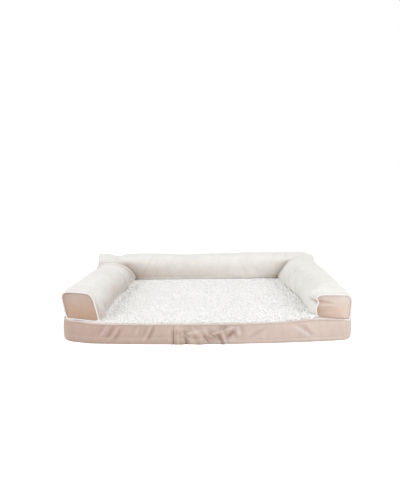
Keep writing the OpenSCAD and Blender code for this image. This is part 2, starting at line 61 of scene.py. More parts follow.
MM = 0.001
WHITE = (1, 1, 1, 1)
BANDS_FINISH, COVERS_FINISH = "Brushed taupe suede", "Brushed ivory suede"


# Sizes and colours

def length(name, description, default, low, high):
    return FloatProperty(name=name, description=description, default=default, min=low, max=high,
                         unit="LENGTH", subtype="DISTANCE", precision=4)


def linear(code):
    """A linear colour from an sRGB hex code."""
    parts = [int(code[i:i + 2], 16) / 255 for i in (1, 3, 5)]
    return (*[p / 12.92 if p <= 0.04045 else ((p + 0.055) / 1.055) ** 2.4 for p in parts], 1.0)


def colour(name, description, code):
    return FloatVectorProperty(name=name, description=description, default=linear(code), size=4,
                               min=0, max=1, subtype="COLOR")


class PadSizes(bpy.types.PropertyGroup):
    width: length("Width", "Width of the pad over its piping", 1.016, 0.9, 1.2)
    depth: length("Depth", "Depth of the pad over its piping", 0.840, 0.74, 1.0)
    bow: length("Front bow", "How far the front edge bows out", 0.026, 0.014, 0.04)
    corner: length("Corner radius", "Radius of the pad's corners", 0.056, 0.04, 0.08)
    deck: length("Deck height", "Height of the plush where the bolsters lie", 0.0692, 0.05, 0.1)
    piping: length("Piping", "Diameter of the piping round the pad", 0.007, 0.004, 0.01)
    crown: length("Crown", "How far the plush rises in its middle", 0.005, 0.0, 0.01)
    tuft_pitch: length("Tuft rows", "Spacing of the rows of tufts", 0.062, 0.05, 0.09)
    tuft_height: length("Tuft height", "Height of the rows of tufts", 0.0035, 0.0, 0.006)
    pile: length("Pile", "Length of one lock of the plush", 0.0070, 0.004, 0.014)
    pile_gap: length("Lock spacing", "Distance between locks of the plush", 0.0078, 0.007, 0.02)
    seam_x: length("Seam", "Place of the upright seam, left of the middle", 0.115, 0.06, 0.2)
    suede: length("Suede", "Thickness of the suede", 0.002, 0.0012, 0.003)


class BolsterSizes(bpy.types.PropertyGroup):
    height: length("Height", "Height of the bolsters above the plush", 0.108, 0.08, 0.14)
    arm_width: length("Arm width", "Width of an arm at its front end", 0.112, 0.095, 0.15)
    swell: length("Swell", "Width that an arm gains towards the back", 0.042, 0.02, 0.08)
    lean: length("Lean", "How far an arm leans out over its height", 0.013, 0.0, 0.02)
    setback: length("Setback", "How far the arms stand back from the front", 0.012, 0.008, 0.04)
    back_width: length("Back thickness", "Front-to-back thickness of the back", 0.140, 0.11, 0.17)
    inset: length("Inset", "How far the bolsters stand in from the pad's edge", 0.004, 0.002, 0.02)
    end_inset: length("End inset", "How far the back's ends stand in", 0.012, 0.004, 0.03)
    flat_press: length("Pressed foot", "How far a bolster is pressed flat", 0.016, 0.008, 0.024)
    tuck: length("End tuck", "How much a bolster narrows at a seamed end", 0.013, 0.003, 0.016)
    piping: length("End piping", "Diameter of the piping round the ends", 0.005, 0.003, 0.007)
    power: FloatProperty(name="Section", description="Roundness of a section, 2 is an ellipse",
                         default=2.9, min=2.3, max=4)
    pressure: FloatProperty(name="Stuffing pressure", default=4.0, min=0, max=10,
                            description="Pressure in the cloth simulation")
    frames: IntProperty(name="Frames", description="Steps of the cloth simulation", default=20,
                        min=1, max=60)
    cap: length("Swell limit", "How far a point may move in the simulation", 0.009, 0.0, 0.016)


class ZipSizes(bpy.types.PropertyGroup):
    height: length("Height", "Height of the zip above the floor", 0.031, 0.024, 0.036)
    tooth_pitch: length("Tooth pitch", "Distance from one tooth to the next", 0.0018, 0.001, 0.003)
    slit: length("Slit", "Width of the slit between the bands", 0.013, 0.012, 0.018)


class Finishes(bpy.types.PropertyGroup):
    taupe: colour("Taupe suede", "Bands and end panels", "#cfbaae")
    ivory: colour("Ivory suede", "Arms and back", "#ebe9e4")
    plush: colour("Plush", "Sleeping surface", "#fbfaf7")
    piping: colour("Piping", "Corded strip in the seams", "#f6f1ee")
    rim: colour("Rim piping", "Corded strip round the pad", "#dacbc2")
    thread: colour("Thread", "Stitches", "#d9cec6")
    foam: colour("Foam", "Slab in the pad", "#f2e6c4")
    fill: colour("Fibre fill", "Stuffing of the bolsters", "#fbfaf6")
    sheet: colour("Non-slip sheet", "Underside", "#8d837b")
    tape: colour("Zip tape", "Woven tape", "#c7b6ac")
    metal: colour("Zip metal", "Slider, pull and stops", "#c9c6c2")


# Forms

def ease(t):
    """A smooth step from 0 to 1."""
    c = np.clip(t, 0, 1)
    return c * c * (3 - 2 * c)


def bell(x, middle, width):
    """A smooth bump of 1 at its middle."""
    return np.exp(-((x - middle) / width) ** 2)


def signed_power(c, e):
    return np.sign(c) * np.abs(c) ** e


class Form:
    """Where the bed's surfaces lie, worked out from its sizes, in metres."""

    cap_share = 0.45         # share of a bolster's height at which its end closes
    lean_share = 0.75        # share of its height at which an arm's lean is nought
    tuck_len = 0.085         # share of an arm that narrows towards its seamed end
    back_tuck_len = 60 * MM  # the same at the back's ends, as a length
    rim_drop = 0.3           # how much of that narrowing lowers the end
    side_draw = 0.4          # and how much of it draws the end to the middle
    swell_from = 0.35        # share of an arm at which it begins to swell
    dip_from = 0.72          # share of an arm at which it begins to dip
    rear_dip = 0.04
    back_sag = 0.015
    arm_clear = 2.2 * MM     # gap between an arm's rear end and the back
    left_plump = 1.035       # the left arm is stuffed a little fuller
    # How the arms lay in the photograph, by side: -1 left, 1 right, 0 an arm without its lie
    inner_square = {-1: 1.6, 0: 0, 1: 2.6}      # added to the power of the front end's section
    outer_square = 1.8                          # the same on its outer half
    leant_in = {-1: 62 * MM, 0: 0, 1: 60 * MM}  # how far the inner side comes in at the rear
    left_sunk = 0.27         # share of its height that the left arm loses at the rear
    right_low = 0.12         # share that the right arm loses at the front

    def __init__(self, scene):
        p, b = scene.bed_pad, scene.bed_bolster
        self.pad, self.bolster, self.zip = p, b, scene.bed_zip
        self.half_w, self.half_d = p.width / 2, p.depth / 2
        self.corner_x = self.half_w - p.corner
        self.back_corner_y = self.half_d - p.corner
        self.front_corner_y = -self.half_d + p.corner + p.bow
        bow_q = (self.corner_x ** 2 + p.bow ** 2) / (2 * p.bow)
        self.bow_r = bow_q + p.corner
        self.bow_y = -self.half_d + self.bow_r
        self.bow_a = math.asin(self.corner_x / bow_q)
        self.piping_r = p.piping / 2
        self.piping_z = p.deck - self.piping_r
        self.base_z = p.deck + 0.3 * MM
        self.crest_z = self.base_z + b.height
        self.press_b = (b.height + b.flat_press) / 2
        self.press_z = self.crest_z - self.press_b
        self.arm_front = -self.half_d + p.bow + b.setback
        self.back_mid = self.half_d - b.inset - b.back_width / 2
        self.back_edge = self.back_mid - b.back_width / 2
        self.back_half = self.half_w - b.inset - b.end_inset
        self.back_face = self.half_d - 6.5 * MM

    def outline(self, step):
        """Stations [x, y, normal x, normal y] round the pad, anticlockwise from its back left."""
        c, r, quarter = self.corner_x, self.pad.corner, math.pi / 2
        arcs = [(-c, self.back_corner_y, r, quarter, math.pi),
                (-c, self.front_corner_y, r, math.pi, 3 * quarter - self.bow_a),
                (0, self.bow_y, self.bow_r, 3 * quarter - self.bow_a, 3 * quarter + self.bow_a),
                (c, self.front_corner_y, r, 3 * quarter + self.bow_a, 4 * quarter),
                (c, self.back_corner_y, r, 4 * quarter, 5 * quarter)]
        knots = [(x + radius * math.cos(a), y + radius * math.sin(a), math.cos(a), math.sin(a))
                 for x, y, radius, a0, a1 in arcs
                 for a in np.linspace(a0, a1, max(4, math.ceil(radius * abs(a1 - a0) / step)) + 1)]
        full = []
        for a, b in zip(np.array(knots), np.array(knots[1:])):
            gap = np.linalg.norm(b[:2] - a[:2])
            if gap > 1e-7:
                count = max(1, round(gap / step))
                full += [a + (b - a) * i / count for i in range(count)]
        return np.array(full + [knots[-1]])

    def back_line(self, step):
        """Stations along the straight back edge, which the outline leaves out."""
        count = math.ceil(2 * self.corner_x / step)
        return np.array([(x, self.half_d, 0, 1)
                         for x in np.linspace(self.corner_x, -self.corner_x, count + 1)])

    def round_corner(self, x, d):
        """How far the edge at x lies beyond the line through the corners' centres."""
        over = np.maximum(0, np.abs(x) - self.corner_x)
        return np.sqrt(np.maximum(0, (self.pad.corner - d) ** 2 - over ** 2))

    def front_y(self, x, d):
        """The front edge at x, drawn in by d."""
        bowed = self.bow_y - np.sqrt((self.bow_r - d) ** 2 - x * x)
        return np.where(np.abs(x) <= (self.bow_r - d) * math.sin(self.bow_a), bowed,
                        self.front_corner_y - self.round_corner(x, d))

    def back_y(self, x, d):
        """The back edge at x, drawn in by d."""
        return self.back_corner_y + self.round_corner(x, d)

    # Bolsters: t is the angle round a section, d how far it is drawn in, s the share along an arm.
    def section(self, t, half, k, d, r, power):
        """A section's points across and up, for its half width, its share k of the height and its
        share r of the way out from the middle of an end."""
        high = self.base_z + (self.press_z - self.base_z) * k \
            + (self.press_b * k - d) * signed_power(np.sin(t), 2 / power)
        mid = self.base_z + self.bolster.height * self.cap_share
        z = mid + (np.maximum(self.base_z + d, high) - mid) * r
        return (half - d) * signed_power(np.cos(t), 2 / power) * r, z

    def back_front(self, z):
        """The back's front face at height z."""
        q = np.minimum(1, np.abs(z - self.press_z) / self.press_b) ** self.bolster.power
        return self.back_mid - self.bolster.back_width / 2 \
            * np.maximum(0, 1 - q) ** (1 / self.bolster.power)

    def arm_tuck(self, s):
        """How much an arm's seamed end narrows it at share s."""
        return self.bolster.tuck * max(0, 1 - s / self.tuck_len) ** 2

    def arm_half(self, s):
        """Half an arm's width at share s."""
        b = self.bolster
        return (b.arm_width + b.swell * ease((s - self.swell_from) / (1 - self.swell_from))) / 2 \
            + b.tuck - self.arm_tuck(s)

    def arm_mid(self, s):
        """The middle of an arm at share s, as on the right."""
        edge = self.half_w - self.bolster.inset
        return edge - self.arm_half(s) - self.side_draw * self.arm_tuck(s)

    def arm_ring(self, s, t, d=0.0, r=1.0, side=0):
        """Points of an arm's section at share s, for the angles t, as on the right. A side of -1 or
        1 adds how that arm lay in the photograph: its end's corners, its lean and its sag."""
        b = self.bolster
        near, long_near = 1 - ease(s / 0.14), 1 - ease(s / 0.38)     # 1 at the front end, 0 behind
        squarer = np.where(np.cos(t) > 0, self.outer_square, self.inner_square[side])
        squarer = squarer * near * abs(side)
        k = 1 - self.rim_drop * self.arm_tuck(s) / b.height \
            - self.rear_dip * ease((s - self.dip_from) / (1 - self.dip_from))
        if side > 0:
            k *= 1 - self.right_low * (1 - ease(s / 0.12))
        if side < 0:
            k *= 1 - self.left_sunk * ease((s - 0.4) / 0.6)
        u, z = self.section(t, self.arm_half(s), k, d, r, b.power + squarer)
        high = (z - self.base_z) / b.height                # 0 at the foot, 1 at the crest
        outside = ease((u / self.arm_half(s) + 1) / 2)     # 0 on the inner side, 1 on the outer
        drawn = ease((s - 0.3) / 0.35) * (0.3 + 0.7 * outside) * high
        x = self.arm_mid(s) + u + b.lean * (high - self.lean_share)
        inward = 1 - np.clip((self.back_half - x) / self.back_tuck_len, 0, 1)
        rear = self.back_front(z) - self.arm_clear - 1.5 * d + b.tuck * inward ** 2 * abs(side)
        x += self.leant_in[side] * ease((s - 0.66) / 0.34) * (1 - outside) * high
        y = self.arm_front + (rear - self.arm_front) * s
        if side < 0:   # its top stands out in front, is drawn in behind, and out again at the rear
            sunk = 12 * bell(s, 0.42, 0.15) * outside * high
            held_in = 17 - 24 * ease((s - 0.84) / 0.12)
            x += (7 * long_near * high - held_in * drawn - sunk) * MM
            x -= 3.5 * MM * near * (1 - outside) * (1 - high)
        if side > 0:   # its outer side is drawn in, its front end leans in and is pinched, and the
            # end's foot reaches a little forward and down
            drawn += 0.55 * bell(s, 0.22, 0.2) * outside * high
            x += (4 * long_near * (1 - high) * outside - 8 * drawn) * MM
            x -= (18 * high - 2) * MM * near * (1 - outside)
            pinch = 6 * bell(high, 0.57, 0.1) - 3 * bell(high, 0.3, 0.15) \
                - 3 * bell(high, 0.78, 0.12)
            x += pinch * MM * near * (1 - outside)
            y -= 3 * MM * (1 - ease(s / 0.3))
            z = z - 6 * MM * near * np.clip(1 - high, 0, 1)
        return np.stack([x, y, z], 1)

    def on_its_side(self, points, side):
        """An arm's points, which are made as on the right, on their own side."""
        z = self.base_z + (points[:, 2] - self.base_z) * (self.left_plump if side < 0 else 1.0)
        return np.stack([points[:, 0] * side, points[:, 1], z], 1)

    def as_it_lies(self, points):
        """The bed as it lay in the photograph: its left front corner is pushed in and out to the
        side, and the front of the pad stands a little thicker, most at the left and under the right
        arm."""
        p = np.array(points, float)
        x, y, z = p.T.copy()
        share = np.where(z < self.base_z, z / self.base_z,
                         1 - (z - self.base_z) / self.bolster.height)
        lift = 4.5 + 5.5 * ease((-0.36 - x) / 0.1) + 8.5 * bell(x, 0.37, 0.09) \
            + 2.5 * ease((x - 0.43) / 0.06)
        p[:, 2] += lift * MM * ease((-0.18 - y) / 0.2) * np.clip(share, 0, 1)
        p[:, 1] += 20 * MM * ease((-0.395 - x) / 0.105) * ease((-0.2 - y) / 0.14)
        foot = np.clip(1 - z / self.base_z, 0, 1)
        p[:, 0] -= (3.3 + 3.5 * foot) * MM * ease((-0.4 - x) / 0.08) * ease((-0.1 - y) / 0.2)
        return p

    def back_ring(self, x, t, d=0.0, r=1.0):
        """Points of the back's section at x, for the angles t, which is 0 at the rear."""
        b = self.bolster
        e = b.tuck * max(0, 1 - (self.back_half - abs(x)) / self.back_tuck_len) ** 2
        inner = self.arm_mid(1) - 2 * self.arm_half(1)
        lowered = 13 * MM * max(0, 1 - (self.back_half - x) / (38 * MM)) ** 2
        lowered += 9 * MM * bell(x, -0.41, 0.026)     # a dip beside the left end
        lowered -= 6 * MM * bell(x, -0.49, 0.03)
        sag = self.back_sag * ease((inner - abs(x)) / 0.15)
        k = 1 - (self.rim_drop * e + lowered) / b.height - sag
        u, z = self.section(t, b.back_width / 2 - e, k, d, r, b.power)
        return np.stack([np.full_like(z, x), self.back_mid + u, z], 1)

    def well(self, x, y, d=10 * MM):
        """How far a point of the plush lies in the open middle, from 0 under a bolster to 1."""
        s = np.clip((y - self.arm_front) / (self.back_edge - self.arm_front), 0, 1)
        side = np.vectorize(self.arm_mid)(s) - np.vectorize(self.arm_half)(s) \
            - self.bolster.lean * self.lean_share
        return ease((side - np.abs(x)) / 0.05) * ease((self.back_edge - y) / 0.05) \
            * ease((y - self.front_y(x, d)) / 0.045)


def even_angles(ring, count):
    """Angles at which a closed section has points an even distance apart."""
    t = np.linspace(0, 2 * math.pi, 1441)
    run = lengths(ring(t))
    return np.interp(np.linspace(0, run[-1], count + 1)[:-1], run, t)


def lengths(points):
    """How far along a row of points each one lies."""
    steps = np.linalg.norm(np.diff(points, axis=0), axis=1)
    return np.concatenate([[0], np.cumsum(steps)])


def fbm(point, scale, seed):
    """Smooth noise about nought, with features as long as scale."""
    p = Vector(point) / scale + Vector((seed * 7.13, seed * 3.71, seed * 5.17))
    return noise.fractal(p, 0.9, 2.1, 3, noise_basis="PERLIN_ORIGINAL")


def fbm_sum(points, *layers):
    """Noise at each point, from layers of (height in mm, stretch, scale, seed)."""
    return np.array([sum(high * fbm(p * stretch, scale, seed)
                         for high, stretch, scale, seed in layers)
                     for p in np.asarray(points)]) * MM


# Meshes

def new_object(name, points, faces=(), edges=()):
    mesh = bpy.data.meshes.new(name)
    mesh.from_pydata([tuple(map(float, p)) for p in points], list(edges), list(faces))
    mesh.validate()
    return linked(name, mesh)


def linked(name, data):
    """A new object in the scene."""
    piece = bpy.data.objects.new(name, data)
    bpy.context.scene.collection.objects.link(piece)
    return piece


def shade_faces(piece, rounded=True):
    piece.data.polygons.foreach_set("use_smooth", [rounded] * len(piece.data.polygons))


def smooth(piece, finish_name):
    """Smooths the look of a piece and gives it its finish."""
    shade_faces(piece)
    piece.data.materials.clear()
    piece.data.materials.append(bpy.data.materials[finish_name])
    piece.data.update()


def strip(first, rows, columns, closed):
    """Quads between rows of points, each of so many columns."""
    last = columns if closed else columns - 1
    return [(first + r * columns + j, first + r * columns + (j + 1) % columns,
             first + (r + 1) * columns + (j + 1) % columns, first + (r + 1) * columns + j)
            for r in range(rows - 1) for j in range(last)]


def edit(mesh, change):
    """Lets a function change a mesh."""
    bm = bmesh.new()
    bm.from_mesh(mesh)
    change(bm)
    bm.to_mesh(mesh)
    bm.free()


def turn_out(piece, weld=1e-5):
    """Turns the faces outwards, once points that lie together are welded."""
    def change(bm):
        if weld:
            bmesh.ops.remove_doubles(bm, verts=bm.verts, dist=weld)
        bmesh.ops.recalc_face_normals(bm, faces=bm.faces)
    edit(piece.data, change)


def settle(piece):
    """Turns a piece and its modifiers into one plain mesh."""
    graph = bpy.context.evaluated_depsgraph_get()
    graph.update()
    mesh = bpy.data.meshes.new_from_object(piece.evaluated_get(graph), depsgraph=graph)
    piece.modifiers.clear()
    old, piece.data = piece.data, mesh
    mesh.name = piece.name
    bpy.data.meshes.remove(old)
    return piece


def read(rows, key, width, kind=float):
    """One value of each vertex or edge of a mesh, as an array."""
    flat = np.empty(len(rows) * width, dtype=kind)
    rows.foreach_get(key, flat)
    return flat.reshape(-1, width)


def coordinates(mesh):
    return read(mesh.vertices, "co", 3)


def vertex_normals(mesh):
    return read(mesh.vertices, "normal", 3)


def place(mesh, points):
    mesh.vertices.foreach_set("co", np.asarray(points, float).ravel())
    mesh.update()


def mark(mesh, name, values):
    """Stores a value at each point, for the finishes to read."""
    layer = mesh.attributes.new(name, "FLOAT", "POINT")
    layer.data.foreach_set("value", np.asarray(values, np.float32))


def dress(piece, slot, *nodes):
    """Puts a piece on the bed's body and hides the CAD nodes that it stands for; its slot is not
    used.
    """
    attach(piece, "bed")
    if nodes:
        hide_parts(*nodes)


# Finishes

# The nodes used most: their type, the inputs that values given in order go to, the output, settings
NODES = {
    "place": ("ShaderNodeTexCoord", (), "Object", {}),
    "turned": ("ShaderNodeMapping", ("Vector", "Rotation", "Scale"), 0, {}),
    "noise": ("ShaderNodeTexNoise", ("Vector", "Scale", "Detail", "Roughness"), "Fac", {}),
    "waves": ("ShaderNodeTexWave", ("Vector", "Scale", "Distortion", "Detail"), "Fac", {}),
    "marked": ("ShaderNodeAttribute", (), "Fac", {}),
    "range": ("ShaderNodeMapRange", ("Value", "From Min", "From Max", "To Min", "To Max"), 0, {}),
    "mix": ("ShaderNodeMix", ("Factor", 6, 7), 2, {"data_type": "RGBA"}),
    "tint": ("ShaderNodeMix", ("Factor", 6, 7), 2, {"data_type": "RGBA", "blend_type": "MULTIPLY"}),
    "bump": ("ShaderNodeBump", ("Height", "Strength", "Distance", "Normal"), 0, {}),
    "shine": ("ShaderNodeBackground", ("Color", "Strength"), 0, {}),
    "blend": ("ShaderNodeMixShader", (0, 1, 2), 0, {}),
    "times": ("ShaderNodeMath", (0, 1), 0, {"operation": "MULTIPLY"}),
    "larger": ("ShaderNodeMath", (0, 1), 0, {"operation": "MAXIMUM"}),
    "vector": ("ShaderNodeCombineXYZ", (0, 1, 2), 0, {}),
    "path": ("GeometryNodeMeshToCurve", ("Mesh",), 0, {}),
    "ring": ("GeometryNodeCurvePrimitiveCircle", ("Resolution", "Radius"), 0, {}),
    "sweep": ("GeometryNodeCurveToMesh", ("Curve", "Profile Curve", "Fill Caps", "Scale"), 0, {}),
    "bead": ("GeometryNodeMeshUVSphere", ("Segments", "Rings", "Radius"), 0, {}),
    "copies": ("GeometryNodeInstanceOnPoints", ("Points", "Instance", "Scale", "Rotation"), 0, {}),
}


def add(tree, kind, *values, port=None, **settings):
    """Adds a node with its settings, and with values or links on its inputs, given in order for a
    kind that NODES lists or else as a dictionary. Gives one of its outputs."""
    kind, keys, own_port, own_settings = NODES.get(kind, (kind, (), 0, {}))
    node = tree.nodes.new(kind)
    for name, value in {**own_settings, **settings}.items():
        setattr(node, name, value)
    inputs = values[0] if values and isinstance(values[0], dict) else dict(zip(keys, values))
    for key, value in inputs.items():
        if isinstance(value, bpy.types.NodeSocket):
            tree.links.new(value, node.inputs[key])
        else:
            node.inputs[key].default_value = value
    return node.outputs[own_port if port is None else port] if node.outputs else node


def new_tree(data):
    """An empty node tree of a material or a world."""
    data.use_nodes = True
    data.node_tree.nodes.clear()
    return data.node_tree


def finish(name, **fixed):
    """A material's tree and its one Principled shader, with plain values set on its own sockets."""
    tree = new_tree(bpy.data.materials.new(name))
    own = {key.replace("_", " "): value for key, value in fixed.items()}
    shader = add(tree, "ShaderNodeBsdfPrincipled", own)
    add(tree, "ShaderNodeOutputMaterial", {"Surface": shader})
    return tree, shader.node


def coat(tree, shader, colour_out, height=None, strength=0.0, depth=0.0, under=None):
    """Gives a shader its colour, and a bump so many metres deep."""
    tree.links.new(colour_out, shader.inputs["Base Color"])
    if height:
        bump = add(tree, "bump", height, strength, depth, *([under] if under else []))
        tree.links.new(bump, shader.inputs["Normal"])


def shade(code, factor):
    """A colour made lighter or darker by a factor."""
    return tuple(c * factor for c in code[:3]) + (1.0,)


def mottle(tree, size, detail=3.0, rough=0.55, stretch=None):
    """Unevenness on Object coordinates, with grains of so many metres."""
    at = add(tree, "place")
    if stretch:
        at = add(tree, "turned", at, (0, 0, 0), stretch)
    return add(tree, "noise", at, 1 / size, detail, rough)


def patches(tree, size, low=0.35, high=0.65, detail=3.0):
    """Soft patches of 0 and 1, about so many metres wide."""
    return add(tree, "range", mottle(tree, size, detail), low, high)


def brushed_suede(name, base, ends, painted_low_casts, high, painted_fold_shade):
    """Faux suede: a brushed polyester microfibre. Its short nap scatters light softly, lies lighter
    or darker where it was stroked, and shows as a fine, uneven grain without any shine. Painted
    shade darkens the valleys of its folds and painted light pales its ridges, by the marked
    hollows; the last argument sets how dark that painted shade is. ends are tints of painted light
    at the left and right, the low casts are painted light and shade low on a bolster, and high is
    the painted light at its top."""
    tree, shader = finish(name, Roughness=0.92, IOR=1.46, Sheen_Weight=0.28, Sheen_Roughness=0.45,
                          Specular_IOR_Level=0.25)
    grain = mottle(tree, 1.7 * MM, 2.0)     # real nap is 0.3 mm long; drawn as coarse as shows
    stroked = patches(tree, 55 * MM, 0.34, 0.66, 2.0)
    now = add(tree, "mix", stroked, shade(base, 1.045), shade(base, 0.955))
    blotch = add(tree, "range", patches(tree, 9 * MM, 0.3, 0.7), 0, 1, 0, 0.5)
    now = add(tree, "mix", blotch, now, shade(base, 0.93))
    now = add(tree, "mix", add(tree, "range", grain, 0.35, 0.75, 0.0, 0.22), now, shade(base, 0.8))
    # painted shade in the valleys of folds and where a skin is marked as shaded
    hollow = add(tree, "marked", attribute_name="hollow")
    deep = add(tree, "tint", 1.0, shade(base, 0.55), (1.0, 0.86, 0.78, 1))
    now = add(tree, "mix", add(tree, "range", hollow, 0.0, 3.0, 0.0, 3 * painted_fold_shade), now, deep)
    # painted light on the ridges of folds and where a skin is marked as lit
    painted_light = add(tree, "mix", 0.5, base, WHITE)
    now = add(tree, "mix", add(tree, "range", hollow, 0.0, -1.0, 0.0, 0.4), now, painted_light)
    # painted light and shade: tints across the piece from left to right, and on the bolsters above
    # the band, low down and at the top
    where = add(tree, "ShaderNodeSeparateXYZ", {0: add(tree, "place")}).node.outputs
    across = add(tree, "range", where["X"], -0.4, 0.4)
    now = add(tree, "tint", 1.0, now, add(tree, "mix", across, *ends))
    up = add(tree, "range", where["Z"], 110 * MM, 168 * MM)
    painted_cast = add(tree, "mix", up, add(tree, "mix", across, *painted_low_casts), high)
    above = add(tree, "range", where["Z"], 76 * MM, 84 * MM)
    now = add(tree, "mix", above, now, add(tree, "tint", 1.0, now, painted_cast))
    soft = add(tree, "bump", mottle(tree, 12 * MM), 0.35, 1.2 * MM)
    coat(tree, shader, now, grain, 0.3, 0.35 * MM, soft)


def sherpa_plush(name, base):
    """Polyester sherpa: dense curly locks of matt fibre, white at the tips and warmer grey between
    them, where little light reaches the knitted ground."""
    tree, shader = finish(name, Roughness=0.95, IOR=1.5, Sheen_Weight=0.35, Sheen_Roughness=0.6,
                          Specular_IOR_Level=0.2, Subsurface_Weight=0.5, Subsurface_Scale=4 * MM,
                          Subsurface_Radius=(1, 1, 1))
    fibre = mottle(tree, 1.1 * MM, 2.0)
    ground = shade(base, 0.93)
    now = add(tree, "mix", patches(tree, 16 * MM), shade(base, 1.02), shade(base, 0.985))
    now = add(tree, "mix", add(tree, "range", fibre, 0.4, 0.7, 0.0, 0.1), now, ground)
    depth = add(tree, "range", add(tree, "marked", attribute_name="depth"), 0, 1, 0, 0.2)
    now = add(tree, "mix", depth, now, ground)
    coat(tree, shader, now, fibre, 0.5, 0.6 * MM)


def twill_piping(name, base):
    """Piping: a cord in a bias-cut cotton strip. Its slanted threads show as fine ridges."""
    tree, shader = finish(name, Roughness=0.85, IOR=1.46, Sheen_Weight=0.15, Specular_IOR_Level=0.3)
    turned = add(tree, "turned", add(tree, "place"), (0.7, 0.5, 0.78))
    pitch = 1.1 * MM     # threads lie 0.4 mm apart; drawn 1.1 mm apart so that they show
    ridge = add(tree, "waves", turned, 0.31 / pitch / 2, 0.6, 1.0)
    now = add(tree, "mix", patches(tree, 22 * MM), base, shade(base, 0.92))
    now = add(tree, "mix", add(tree, "range", ridge, 0, 1, 0.0, 0.14), now, shade(base, 0.75))
    coat(tree, shader, now, ridge, 0.5, 0.3 * MM)


def spun_thread(name, base):
    """Spun polyester sewing thread: two twisted plies with a slight silk gloss."""
    tree, shader = finish(name, Roughness=0.6, IOR=1.5, Sheen_Weight=0.1)
    ply = mottle(tree, 0.8 * MM, 1.0, stretch=(1, 1, 3))
    coat(tree, shader, add(tree, "mix", ply, shade(base, 1.05), shade(base, 0.82)))


def open_cell_foam(name, base):
    """Cut polyurethane foam: dull cream open cells under a millimetre wide, yellowed in patches."""
    tree, shader = finish(name, Roughness=0.95, IOR=1.45, Specular_IOR_Level=0.2)
    pores = {"Vector": add(tree, "place"), "Scale": 1 / (2.2 * MM)}
    cells = add(tree, "ShaderNodeTexVoronoi", pores, port="Distance")
    # the cells' middles are darker: painted shade in the pores
    cell = add(tree, "range", cells, 0.1, 0.8)
    aged = add(tree, "mix", patches(tree, 70 * MM), base, shade(base, 0.9))
    coat(tree, shader, add(tree, "mix", cell, shade(base, 0.72), aged), cell, 0.6, 0.5 * MM)


def loose_fibre(name, base):
    """Hollow polyester fibre: soft white tangles that stay matt."""
    tree, shader = finish(name, Roughness=0.98, IOR=1.45, Sheen_Weight=0.3)
    strands = mottle(tree, 2.5 * MM, 4.0, 0.7, stretch=(1, 3, 1))
    coat(tree, shader, add(tree, "mix", strands, shade(base, 0.85), base), strands, 0.7, 1.0 * MM)


def plain_weave(name, base, pitch, gloss=0.7):
    """A plain woven ground: threads over and under at right angles, each a low ridge."""
    tree, shader = finish(name, Roughness=gloss, IOR=1.5, Specular_IOR_Level=0.3)
    at = add(tree, "place")
    waves = [add(tree, "waves", at, 0.31 / pitch, 0.3, bands_direction=way) for way in "XZ"]
    threads = add(tree, "larger", *waves)
    dirty = add(tree, "mix", patches(tree, 30 * MM), base, shade(base, 0.9))
    coat(tree, shader, add(tree, "mix", threads, shade(base, 0.7), dirty), threads, 0.5, 0.25 * MM)


def grip_rubber(name, base):
    """Latex dots printed on the non-slip sheet: smooth, slightly tacky, with a low soft shine."""
    tree, shader = finish(name, Roughness=0.5, IOR=1.52)
    coat(tree, shader, add(tree, "mix", mottle(tree, 4 * MM), base, shade(base, 0.8)))


def moulded_nylon(name, base):
    """Nylon monofilament bent to zip teeth: smooth, with a slight gloss and uneven dye."""
    tree, shader = finish(name, Roughness=0.38, IOR=1.53)
    coat(tree, shader, add(tree, "mix", mottle(tree, 2 * MM, 2.0), base, shade(base, 0.9)))


def tumbled_zinc(name, base):
    """Die-cast zinc, tumbled and nickel plated: soft silver, dulled by fine scuffs."""
    tree, shader = finish(name, Metallic=1.0)
    scuffs = mottle(tree, 0.9 * MM, 4.0, 0.65)
    tree.links.new(add(tree, "range", scuffs, 0.3, 0.7, 0.24, 0.42), shader.inputs["Roughness"])
    worn = add(tree, "mix", mottle(tree, 5 * MM, 2.0), base, shade(base, 0.88))
    coat(tree, shader, worn, scuffs, 0.15, 0.05 * MM)


# Repeated things, by Geometry Nodes

def node_group(name, **sizes):
    """A Geometry Nodes tree, with a geometry in and out and named inputs for sizes and finish."""
    tree = bpy.data.node_groups.new(name, "GeometryNodeTree")

    def socket(label, kind, way="INPUT"):
        return tree.interface.new_socket(label, in_out=way, socket_type="NodeSocket" + kind)

    socket("Geometry", "Geometry")
    for label, default in sizes.items():
        kind = "Int" if isinstance(default, int) else "Float"
        socket(label.replace("_", " "), kind).default_value = default
    socket("Finish", "Material")
    socket("Geometry", "Geometry", "OUTPUT")
    return tree, tree.nodes.new("NodeGroupInput").outputs


def close_group(tree, given, geometry):
    """Makes the copies real and smooth, gives them the finish and puts them out."""
    real = add(tree, "GeometryNodeRealizeInstances", {"Geometry": geometry})
    shaded = add(tree, "GeometryNodeSetShadeSmooth", {"Geometry": real})
    finished = {"Geometry": shaded, "Material": given["Finish"]}
    add(tree, "NodeGroupOutput", {"Geometry": add(tree, "GeometryNodeSetMaterial", finished)})


def edge_points(tree, given, pitch):
    """Points along the edges of a mesh, a pitch apart, with their tangents."""
    path = {"Curve": add(tree, "path", given["Geometry"]), "Length": pitch}
    return add(tree, "GeometryNodeCurveToPoints", path, mode="LENGTH").node.outputs


def tube_group():
    """A round cord along the edges of a mesh."""
    tree, given = node_group("Cord Along Edge", Radius=0.0025, Sides=12)
    ring = add(tree, "ring", given["Sides"], given["Radius"], mode="RADIUS")
    close_group(tree, given, add(tree, "sweep", add(tree, "path", given["Geometry"]), ring, True))


def stitch_group():
    """A row of short stitches along the edges of a mesh, one for each stitch length."""
    tree, given = node_group("Stitch Row", Stitch_Length=0.003, Spacing=0.0042, Thickness=0.0007)
    points = edge_points(tree, given, given["Spacing"])
    size = add(tree, "vector", given["Thickness"], given["Thickness"], given["Stitch Length"])
    spun = add(tree, "FunctionNodeAlignRotationToVector", {"Vector": points["Tangent"]}, axis="Z")
    stitch = add(tree, "bead", 6, 4, 0.5)
    close_group(tree, given, add(tree, "copies", points[0], stitch, size, spun))


